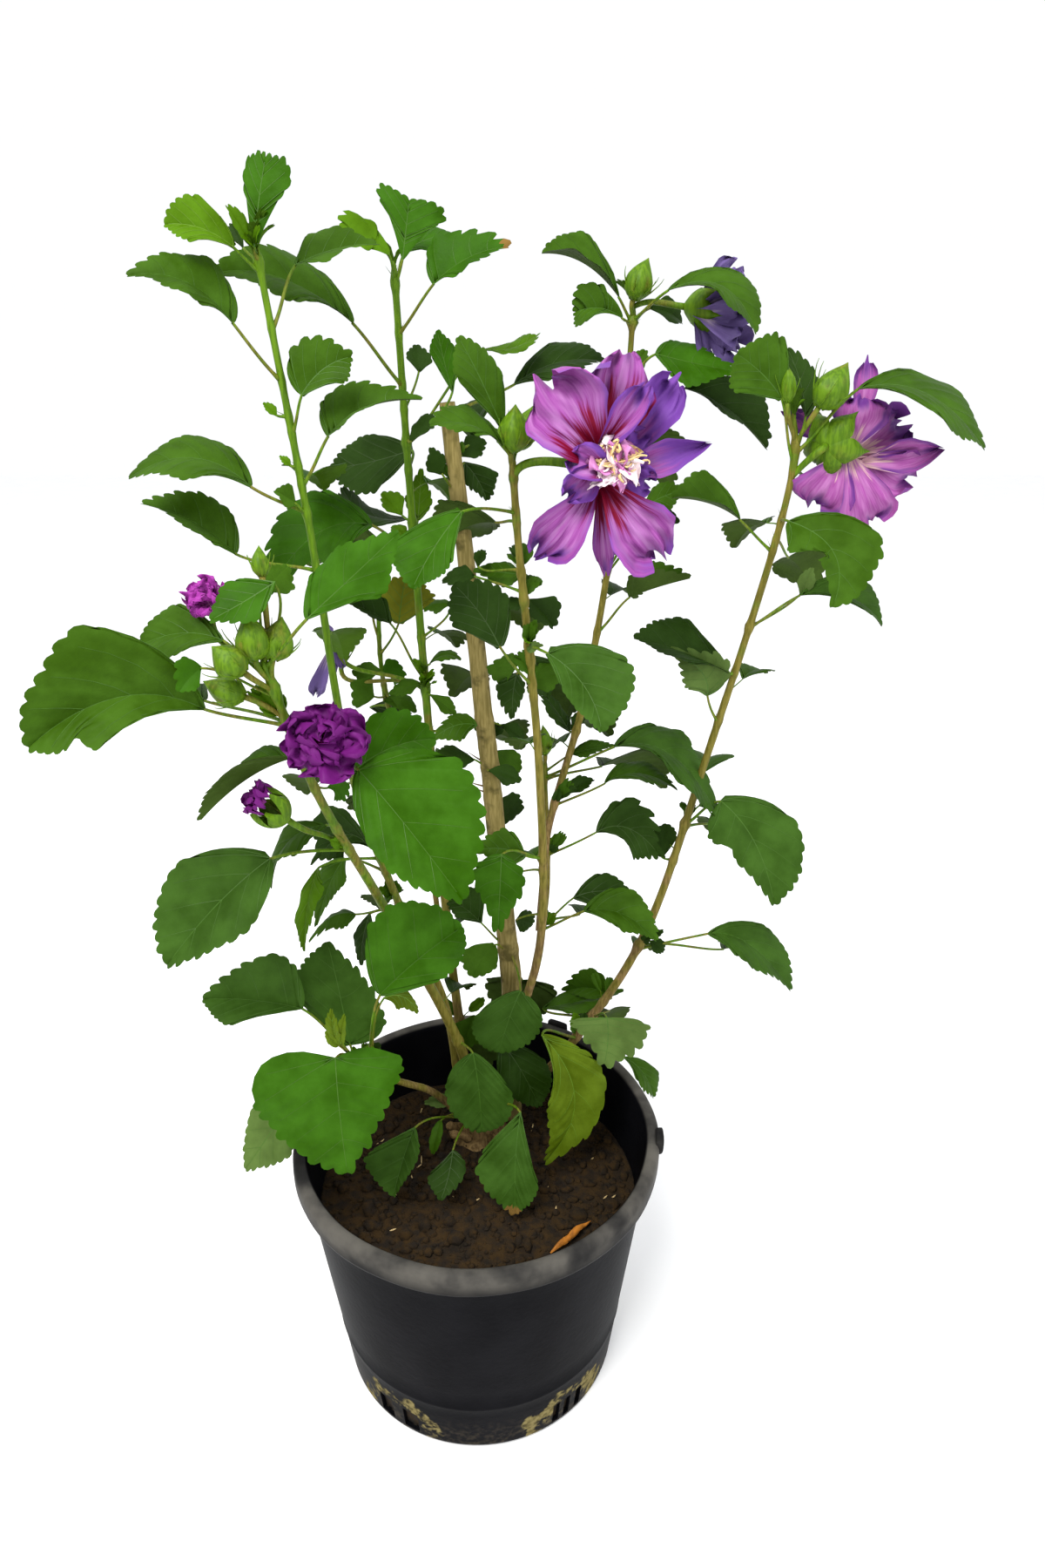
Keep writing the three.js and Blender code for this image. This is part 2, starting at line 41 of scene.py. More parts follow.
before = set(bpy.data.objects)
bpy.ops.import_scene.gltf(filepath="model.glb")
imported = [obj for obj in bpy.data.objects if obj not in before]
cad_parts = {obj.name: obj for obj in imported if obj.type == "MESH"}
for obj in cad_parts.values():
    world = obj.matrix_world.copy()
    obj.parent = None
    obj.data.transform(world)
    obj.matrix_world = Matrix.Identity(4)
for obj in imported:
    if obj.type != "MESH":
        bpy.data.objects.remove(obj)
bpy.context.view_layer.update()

# ---- Camera ----

FRAME_WIDTH, FRAME_HEIGHT = 1200, 1800
CAMERA_PLACE = np.array((0.030, -0.5295, 0.680))
CAMERA_PITCH = math.radians(25)
LENS_MM, SENSOR_MM = 24, 36
FOCAL_PIXELS = FRAME_HEIGHT * LENS_MM / SENSOR_MM

LOOK = np.array((0.0, math.cos(CAMERA_PITCH), -math.sin(CAMERA_PITCH)))
LOOK_UP = np.array((0.0, math.sin(CAMERA_PITCH), math.cos(CAMERA_PITCH)))


def make_camera():
    """The camera that the pixels belong to."""
    data = bpy.data.cameras.new("camera")
    data.lens = LENS_MM
    data.sensor_width = SENSOR_MM
    data.clip_start = 0.01
    camera = bpy.data.objects.new("camera", data)
    camera.location = CAMERA_PLACE
    camera.rotation_euler = (math.pi / 2 - CAMERA_PITCH, 0, 0)
    bpy.context.scene.collection.objects.link(camera)
    bpy.context.scene.camera = camera


def pixel_ray(pixel):
    """The camera's direction through a pixel, one unit deep."""
    column, row = pixel[0] - FRAME_WIDTH / 2, pixel[1] - FRAME_HEIGHT / 2
    return LOOK + (RIGHT * column - LOOK_UP * row) / FOCAL_PIXELS


def at_pixel(pixel, y):
    """The point on the ray through a pixel where it meets a plane of that y."""
    ray = pixel_ray(pixel)
    return CAMERA_PLACE + ray * ((y - CAMERA_PLACE[1]) / ray[1])


def on_level(pixel, z):
    """The point on the ray through a pixel where it meets a level of that z."""
    ray = pixel_ray(pixel)
    return CAMERA_PLACE + ray * ((z - CAMERA_PLACE[2]) / ray[2])


def pixel_row(points):
    """The row of the camera's frame in which each point shows."""
    away = np.asarray(points) - CAMERA_PLACE
    return FRAME_HEIGHT / 2 - FOCAL_PIXELS * (away @ LOOK_UP) / (away @ LOOK)


# ---- Small geometry helpers ----


def unit(v):
    return v / np.linalg.norm(v)


def smooth_step(x, low, high):
    """0 below low, 1 above high and an even rise between."""
    t = np.clip((x - low) / (high - low), 0, 1)
    return t * t * (3 - 2 * t)


def curve_through(points, per_span):
    """A centripetal Catmull-Rom curve through points, with its ends carried on straight."""
    points = [np.asarray(p, float) for p in points]
    first, last = 2 * points[0] - points[1], 2 * points[-1] - points[-2]
    p = [first, *points, last]
    out = []
    for k in range(1, len(p) - 2):
        a, b, c, d = p[k - 1 : k + 3]
        before, span, after = (math.sqrt(np.linalg.norm(y - x)) for x, y in ((a, b), (b, c), (c, d)))
        out_slope = (b - a) / before - (c - a) / (before + span) + (c - b) / span
        in_slope = (c - b) / span - (d - b) / (span + after) + (d - c) / after
        out_slope, in_slope = out_slope * span, in_slope * span
        t = np.linspace(0, 1, per_span, endpoint=False)[:, None]
        cubic = 2 * b - 2 * c + out_slope + in_slope
        square = 3 * c - 3 * b - 2 * out_slope - in_slope
        out.append(b + out_slope * t + square * t**2 + cubic * t**3)
    return np.vstack([*out, points[-1][None]])


def resample(points, count):
    """Points at equal steps along a polyline."""
    length = np.concatenate([[0], np.cumsum(np.linalg.norm(np.diff(points, axis=0), axis=1))])
    want = np.linspace(0, length[-1], count)
    return np.stack([np.interp(want, length, points[:, k]) for k in range(points.shape[1])], axis=1)


def bezier(a, b, c, d, count):
    """Points of a cubic Bezier curve."""
    t = np.linspace(0, 1, count)[:, None]
    return (1 - t) ** 3 * a + 3 * t * (1 - t) ** 2 * b + 3 * t**2 * (1 - t) * c + t**3 * d


def bent_frame(start, middle, end, upper, t):
    """Places along a quadratic curve, and its heading, its side and the way up from it there."""
    t = t[..., None]
    spine = (1 - t) ** 2 * start + 2 * t * (1 - t) * middle + t**2 * end
    heading = (1 - t) * (middle - start) + t * (end - middle)
    heading = heading / np.linalg.norm(heading, axis=-1, keepdims=True)
    side = np.cross(heading, upper)
    side = side / (np.linalg.norm(side, axis=-1, keepdims=True) + TINY)
    return spine, heading, side, np.cross(side, heading)


def two_sides(direction):
    """Two directions across a third one."""
    first = unit(np.cross(direction, UP) + 1e-3)
    return first, np.cross(direction, first)


def drawn_sway(rng):
    """A vector with each part drawn between -1 and 1."""
    return np.array([rng.uniform(-1, 1) for _ in range(3)])


class Batch:
    """Mesh pieces joined into one object, with a material for each face and a vector for each vertex."""

    def __init__(self, *materials):
        self.materials = materials
        self.points, self.faces, self.slots, self.values = [], [], [], []
        self.count = 0

    def add(self, points, faces, slot=0, values=(0, 0, 0)):
        """Points, faces in their order, the faces' material slot, and a vector for all points or each."""
        points = np.asarray(points, float)
        self.points.append(points)
        self.values.append(np.broadcast_to(np.asarray(values, float), points.shape))
        self.faces.extend(tuple(k + self.count for k in face) for face in faces)
        self.slots.extend([slot] * len(faces))
        self.count += len(points)

    def build(self, name, record_slot, *replaced):
        """The finished piece, which stands for the CAD nodes it replaces."""
        mesh = bpy.data.meshes.new(name)
        mesh.from_pydata(np.vstack(self.points).tolist(), [], self.faces)
        for material in self.materials:
            mesh.materials.append(material)
        mesh.polygons.foreach_set("material_index", self.slots)
        mesh.polygons.foreach_set("use_smooth", [True] * len(self.faces))
        place = mesh.attributes.new("place", "FLOAT_VECTOR", "POINT")
        place.data.foreach_set("vector", np.vstack(self.values).astype(np.float32).ravel())
        mesh.update()
        piece = bpy.data.objects.new(name, mesh)
        bpy.context.scene.collection.objects.link(piece)
        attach(piece, "root")
        if replaced:
            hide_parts(*replaced)


def grid_faces(rows, columns, closed=False):
    """Quads over a grid of rows and columns. closed joins the last column to the first."""
    faces = []
    for i in range(rows - 1):
        for j in range(columns if closed else columns - 1):
            k = (j + 1) % columns
            faces.append((i * columns + j, i * columns + k, (i + 1) * columns + k, (i + 1) * columns + j))
    return faces


def tube_rings(path, radii, sides):
    """Points of a tube: one ring to each point of the path, carried along without twisting."""
    tangents = np.gradient(path, axis=0)
    tangents /= np.linalg.norm(tangents, axis=1)[:, None]
    side = unit(np.cross(tangents[0], FRONT if abs(tangents[0][1]) < 0.9 else UP))
    turn = np.linspace(0, TURN, sides, endpoint=False)
    rings = []
    for point, tangent, radius in zip(path, tangents, radii):
        side = unit(side - tangent * (side @ tangent))
        other = np.cross(tangent, side)
        around = np.cos(turn)[:, None] * side + np.sin(turn)[:, None] * other
        rings.append(point + around * np.reshape(radius, (-1, 1)))
    return np.vstack(rings)


def capped_faces(rings, sides):
    """Quads round closed rings, with a face over each end."""
    last = (rings - 1) * sides
    return grid_faces(rings, sides, closed=True) + [
        tuple(reversed(range(sides))),
        tuple(range(last, last + sides)),
    ]


def add_tube(batch, path, radii, sides, slot=0, ages=0.0):
    """A tube with closed ends. ages is one number, or one to each point of the skin."""
    count = len(path)
    values = np.zeros((count * sides, 3))
    values[:, 0] = ages
    batch.add(tube_rings(path, radii, sides), capped_faces(count, sides), slot, values)


# ---- Materials ----


def srgb(red, green, blue):
    """A colour as the eye names it, 0 to 255, in the linear values that shaders take."""
    channels = (c / 255 for c in (red, green, blue))
    linear = [c / 12.92 if c <= 0.04045 else ((c + 0.055) / 1.055) ** 2.4 for c in channels]
    return (*linear, 1.0)


class Shader:
    """A Principled material and short ways to add nodes to it."""

    def __init__(self, name, specular):
        self.material = bpy.data.materials.new(name)
        self.material.use_nodes = True
        self.tree = self.material.node_tree
        self.surface = self.tree.nodes["Principled BSDF"]
        self.surface.inputs["Specular IOR Level"].default_value = specular

    def add(self, kind, inputs=(), output=0, **settings):
        """A node's output, with its inputs set to numbers or linked to other outputs."""
        node = self.tree.nodes.new(kind)
        for key, value in settings.items():
            setattr(node, key, value)
        for key, value in dict(inputs).items():
            if isinstance(value, bpy.types.NodeSocket):
                self.tree.links.new(value, node.inputs[key])
            else:
                node.inputs[key].default_value = value
        return node.outputs[output]

    def math(self, operation, a, b=0.0):
        return self.add("ShaderNodeMath", {0: a, 1: b}, operation=operation)

    def mix(self, factor, a, b):
        """Colour a, and b as far as the factor goes."""
        inputs = {"Factor": factor, 6: a, 7: b}
        return self.add("ShaderNodeMix", inputs, output=2, data_type="RGBA")

    def range(self, value, low, high, start=0.0, end=1.0):
        """From start to end, smoothly, as a value goes from low to high."""
        inputs = {"Value": value, "From Min": low, "From Max": high, "To Min": start, "To Max": end}
        return self.add("ShaderNodeMapRange", inputs, interpolation_type="SMOOTHSTEP")

    def place(self):
        """Where the point is in the row frame."""
        return self.add("ShaderNodeTexCoord", output="Object")

    def values(self):
        """The vertex vector's three numbers."""
        vector = self.add("ShaderNodeAttribute", output="Vector", attribute_name="place")
        node = self.tree.nodes.new("ShaderNodeSeparateXYZ")
        self.tree.links.new(vector, node.inputs[0])
        return node.outputs

    def join(self, x, y, z):
        return self.add("ShaderNodeCombineXYZ", {0: x, 1: y, 2: z})

    def noise(self, vector, scale, detail):
        return self.add("ShaderNodeTexNoise", {"Vector": vector, "Scale": scale, "Detail": detail})

    def bump(self, height, distance, strength):
        inputs = {"Height": height, "Distance": distance, "Strength": strength}
        normal = self.add("ShaderNodeBump", inputs)
        self.tree.links.new(normal, self.surface.inputs["Normal"])

    def done(self, colour, roughness):
        """The material, once its colour and roughness are linked."""
        self.tree.links.new(colour, self.surface.inputs["Base Color"])
        self.tree.links.new(roughness, self.surface.inputs["Roughness"])
        return self.material


def shifted(colour, share, lift=0.0):
    """A colour made lighter or darker by a share, and raised by a little."""
    return tuple(min(1, c * share + lift) for c in colour[:3]) + (1.0,)


LEAF_FLECK = 0.25


def leaf_material(name, colour, roughness):
    """A blade's green, clouded and flecked at random, with a fine satin grain."""
    shader = Shader(name, specular=0.05)
    where = shader.place()
    cloud = shader.range(shader.noise(where, 60.0, 3.0), 0.3, 0.7)
    fine = shader.range(shader.noise(where, 420.0, 2.0), 0.25, 0.75)
    body = shader.mix(cloud, shifted(colour, 1 - LEAF_FLECK), shifted(colour, 1 + 0.7 * LEAF_FLECK, 0.004))
    body = shader.mix(shader.math("MULTIPLY", fine, 0.25), body, colour)
    shader.bump(fine, 0.00025, 0.35)
    return shader.done(body, shader.range(cloud, 0.0, 1.0, roughness - 0.08, roughness + 0.08))


def plain_material(name, colour, roughness, scale, spread, relief=0.0002):
    """One colour with grain: it darkens and lightens at random by a share."""
    shader = Shader(name, specular=0.3)
    grain = shader.range(shader.noise(shader.place(), scale, 3.0), 0.3, 0.7)
    shader.bump(grain, relief, 0.5)
    body = shader.mix(grain, shifted(colour, 1 - spread), shifted(colour, 1 + spread))
    return shader.done(body, shader.range(grain, 0, 1, roughness - 0.06, roughness + 0.06))


def bark_material():
    """Bark. The vertex vector's x is its age: 0 is a green shoot, 0.5 olive and 1 woody. y is 1 on the trunk,
    which is khaki with darker stains."""
    shader = Shader("young_bark", specular=0.15)
    age, trunk, _ = shader.values()
    where = shader.place()
    blotch = shader.noise(where, 90.0, 4.0)
    streak = shader.add("ShaderNodeMapping", {"Vector": where, "Scale": (1.0, 1.0, 0.12)})
    fibre = shader.noise(streak, 700.0, 3.0)
    aged = shader.math("ADD", age, shader.range(blotch, 0.3, 0.7, -0.14, 0.14))
    green = shader.mix(shader.range(fibre, 0.35, 0.65), srgb(66, 98, 8), srgb(86, 119, 14))
    olive = shader.mix(shader.range(fibre, 0.35, 0.65), srgb(92, 86, 26), srgb(118, 108, 44))
    woody = shader.mix(shader.range(fibre, 0.3, 0.7), srgb(92, 72, 42), srgb(132, 108, 68))
    body = shader.mix(shader.range(aged, 0.1, 0.45), green, olive)
    body = shader.mix(shader.range(aged, 0.55, 0.9), body, woody)
    khaki = shader.mix(shader.range(fibre, 0.3, 0.7), srgb(110, 98, 52), srgb(142, 127, 76))
    stain = shader.mix(shader.range(blotch, 0.52, 0.68), khaki, srgb(84, 76, 38))
    body = shader.mix(trunk, body, stain)
    shader.bump(shader.math("ADD", fibre, blotch), 0.0004, 0.35)
    return shader.done(body, shader.range(aged, 0.2, 0.9, 0.5, 0.78))


def petal_material(name, body, vein, rim, throat, throat_reach):
    """A petal: a body with veins and pale patches of painted highlight, a rim, and a throat that reaches out
    in streaks. The vertex vector's x runs from the throat to the end, y across, and z is its share of the
    rim's colour."""
    shader = Shader(name, specular=0.15)
    along, across, shade = shader.values()
    lines = shader.noise(shader.join(shader.math("MULTIPLY", across, 16.0), along, shade), 1.6, 3.0)
    broad = shader.noise(shader.join(shader.math("MULTIPLY", across, 2.6), along, shade), 1.6, 2.0)
    colour = shader.mix(shader.range(lines, 0.35, 0.7, 0.0, 0.8), body, vein)
    # Pale patches where the broad noise is high: painted highlights.
    colour = shader.mix(shader.range(broad, 0.42, 0.68, 0.0, 0.7), colour, shifted(body, 1.2, 0.12))
    edge = shader.math("MAXIMUM", shader.math("ABSOLUTE", across), shader.math("MULTIPLY", along, 0.97))
    edge = shader.math("ADD", edge, shader.range(broad, 0.3, 0.7, -0.12, 0.12))
    # Each petal's shade moves it toward the rim's violet; the high values on folded and back petals are
    # painted shade.
    edge = shader.math("ADD", edge, shader.math("MULTIPLY", shade, 0.34))
    colour = shader.mix(shader.range(edge, 0.82, 1.14), colour, rim)
    ragged = shader.math("ADD", along, shader.range(broad, 0.3, 0.7, -0.16, 0.16))
    ragged = shader.math("ADD", ragged, shader.range(lines, 0.3, 0.7, -0.10, 0.10))
    inside = shader.range(ragged, throat_reach * 0.6, throat_reach * 1.25, 1.0, 0.0)
    colour = shader.mix(inside, colour, throat)
    shader.bump(lines, 0.0005, 0.4)
    return shader.done(colour, shader.range(lines, 0.2, 0.8, 0.5, 0.66))


# ---- Limbs ----


class LimbPlan(NamedTuple):
    """A limb's centreline in mm, foot first, and its radius and its bark's age at foot and tip."""

    line: list
    radii: tuple
    age: tuple
    sides: int = 12


LIMB_PLANS = {
    "trunk": LimbPlan(
        [(22, 47, 150), (24, 54, 225), (16, 60, 343), (3, 60, 495), (-10, 60, 629)],
        (7.6, 4.2), (1, 1), 20),
    "left_leader": LimbPlan(
        [(-12, 38, 155), (-21, 35, 255), (-44, 20, 337), (-63, -10, 445), (-73, -20, 581), (-86, -20, 702)],
        (3.0, 1.5), (0.8, -0.25)),
    "second_leader": LimbPlan(
        [(-6, 47, 155), (-17, 55, 269), (-27, 60, 444), (-32, 60, 585), (-34, 50, 696)],
        (3.3, 1.7), (0.95, -0.2)),
    "front_stem": LimbPlan(
        [(-2, 34, 155), (-10, 29, 220), (-49, -10, 356), (-73, -60, 458), (-87, -80, 532)],
        (3.7, 1.9), (0.62, 0.15)),
    "right_stem": LimbPlan(
        [(22, 49, 155), (67, 60, 208), (109, 65, 283), (141, 55, 420), (173, 41, 600), (170, 42, 626)],
        (3.2, 1.7), (0.9, 0.35)),
    "middle_stem": LimbPlan(
        [(26, 43, 232), (41, 30, 306), (40, 15, 427), (27, 5, 576), (25, 0, 609)],
        (2.9, 1.8), (0.82, 0.34)),
    "back_stem": LimbPlan(
        [(41, 31, 316), (43, 44, 340), (46, 60, 371), (67, 75, 451), (86, 90, 580), (90, 90, 676)],
        (2.6, 1.5), (0.95, 0.3)),
    "bud_stem": LimbPlan(
        [(34, 37, 262), (38, 46, 280), (46, 68, 320), (44, 80, 414)],
        (2, 1.4), (0.85, 0.35)),
    "thin_stem": LimbPlan(
        [(-25, 62, 300), (-36, 84, 370), (-57, 90, 461), (-58, 100, 530)],
        (1.9, 1.3), (0.7, 0)),
    "low_shoot": LimbPlan(
        [(-10, 34, 158), (-30, 20, 195), (-50, 0, 222), (-67, -20, 251)],
        (2.8, 1.8), (0.95, 0.4)),
    "crown": LimbPlan(
        [(-2, 38, 137), (-5, 37, 150), (-7, 36, 165)],
        (5, 4), (1, 1)),
}
SPAN_POINTS = 40


class Limb:
    """A limb's curve, which gives its place, direction, radius and age by a share of its length."""

    def __init__(self, plan):
        self.plan = plan
        self.points = curve_through(np.array(plan.line) * MM, SPAN_POINTS)
        steps = np.linalg.norm(np.diff(self.points, axis=0), axis=1)
        self.length = steps.sum()
        self.share = np.concatenate([[0], np.cumsum(steps)]) / self.length
        self.rows = pixel_row(self.points)
        self.joints = []

    def point(self, share):
        return np.array([np.interp(share, self.share, self.points[:, k]) for k in range(3)])

    def radius(self, share):
        foot, tip = self.plan.radii
        return (foot + (tip - foot) * share) * MM

    def age(self, share):
        foot, tip = self.plan.age
        return foot + (tip - foot) * share**0.8

    def share_at_row(self, row):
        """The share at which the limb crosses a row of the camera's frame."""
        return float(np.interp(-row, -self.rows, self.share))

    def at_row(self, row):
        return self.point(self.share_at_row(row))


LIMBS = {name: Limb(plan) for name, plan in LIMB_PLANS.items()}

RING_STEP = 2.2 * MM
SWELLING_LENGTH = 2.6 * MM
KNOB_SPACING = 50 * MM
JOINT_SWELLING, KNOB_SWELLING = 0.2, 0.04
ROUNDED_TIP = 0.015  # share of a limb's length


def add_limb_bark(batch, name, limb, rng):
    """A limb with swollen joints, shallow ridges and knobs, in rings of uneven radius. The trunk's joints are
    no wider than knobs, and its end is cut square."""
    trunk = name == "trunk"
    rings = max(8, int(limb.length / RING_STEP))
    sides = limb.plan.sides
    shares = np.linspace(0, 1, rings)
    path = np.stack([limb.point(s) for s in shares])
    turn = np.linspace(0, TURN, sides, endpoint=False)
    phase = rng.uniform(0, 6)
    ages = limb.age(shares)
    woody = ages.clip(0, 1)[:, None]
    ridge = 0.035 * np.sin(3 * turn + phase)[None] + 0.03 * np.sin(5 * turn + 40 * shares[:, None] + phase)
    radii = limb.radius(shares)[:, None] * (1 + ridge * (0.4 + woody))
    swellings = [(share, KNOB_SWELLING if trunk else JOINT_SWELLING) for share in limb.joints]
    for _ in range(int(limb.length / KNOB_SPACING)):
        swellings.append((rng.uniform(0.03, 0.95), KNOB_SWELLING))
    for share, size in swellings:
        along = (shares - share) * limb.length
        radii = radii * (1 + size * np.exp(-((along / SWELLING_LENGTH) ** 2))[:, None])
    if not trunk:
        past = ((shares - 1) / ROUNDED_TIP + 1).clip(0, 1)
        radii = radii * np.sqrt(np.clip(1 - past**2, 0.12, 1))[:, None]
    values = np.repeat(np.stack([ages, np.full(rings, float(trunk)), np.zeros(rings)], axis=1), sides, axis=0)
    batch.add(tube_rings(path, radii, sides), capped_faces(rings, sides), 0, values)


# ---- Leaves ----


class Leaf(NamedTuple):
    """A leaf: the row of its joint on the limb, the pixels of its blade's base and tip, how far the base is
    nearer than the limb and the tip nearer than the base in mm, and the blade's own form. mid is the pixel of
    the midrib's middle. left and right are the pixels of the blade's widest points, seen from above with the
    tip ahead. Without them the blade lies flat, tilted by face."""

    joint: float
    base: tuple
    tip: tuple
    near: float = 0
    lean: float = 0
    mid: tuple = None
    left: tuple = None
    right: tuple = None
    tone: str = "mature"
    form: str = "rhombic"
    wide: float = 0.84  # width as a share of length
    face: float = 45  # tilt of the upper side from +Z to the front, degrees
    arch: float = 0.12  # rise of the midrib's middle as a share of length
    fold: float = 18  # rise of each half from the midrib, degrees
    scar: float = 0.0  # share of the length that has dried at the tip
    lobe: float = 0.0  # depth of a notch past the widest point, above 0 in one half and below 0 in the other


def far_leaf(joint, base, tip, near, lean, **form):
    """A leaf on the far side, its upper side turned away, in the shaded tone: a darker green, painted shade.
    """
    return Leaf(joint, base, tip, near, lean, tone="shaded", face=-40, **form)


NO_JOINT = (0, (0, 0), (0, 0))  # for a leaf that grows by rule, not by its pixels
TONES = ("young", "bright", "mature", "shaded", "pale", "aged", "yellow", "dusty", "scorched")
UNDERSIDE, YOUNG_UNDERSIDE = len(TONES), len(TONES) + 1
# Leaves in the shaded tone take the darker vein green, which is painted shade too.
VEIN_SLOTS = {"shaded": 0, "young": 2, "yellow": 2}

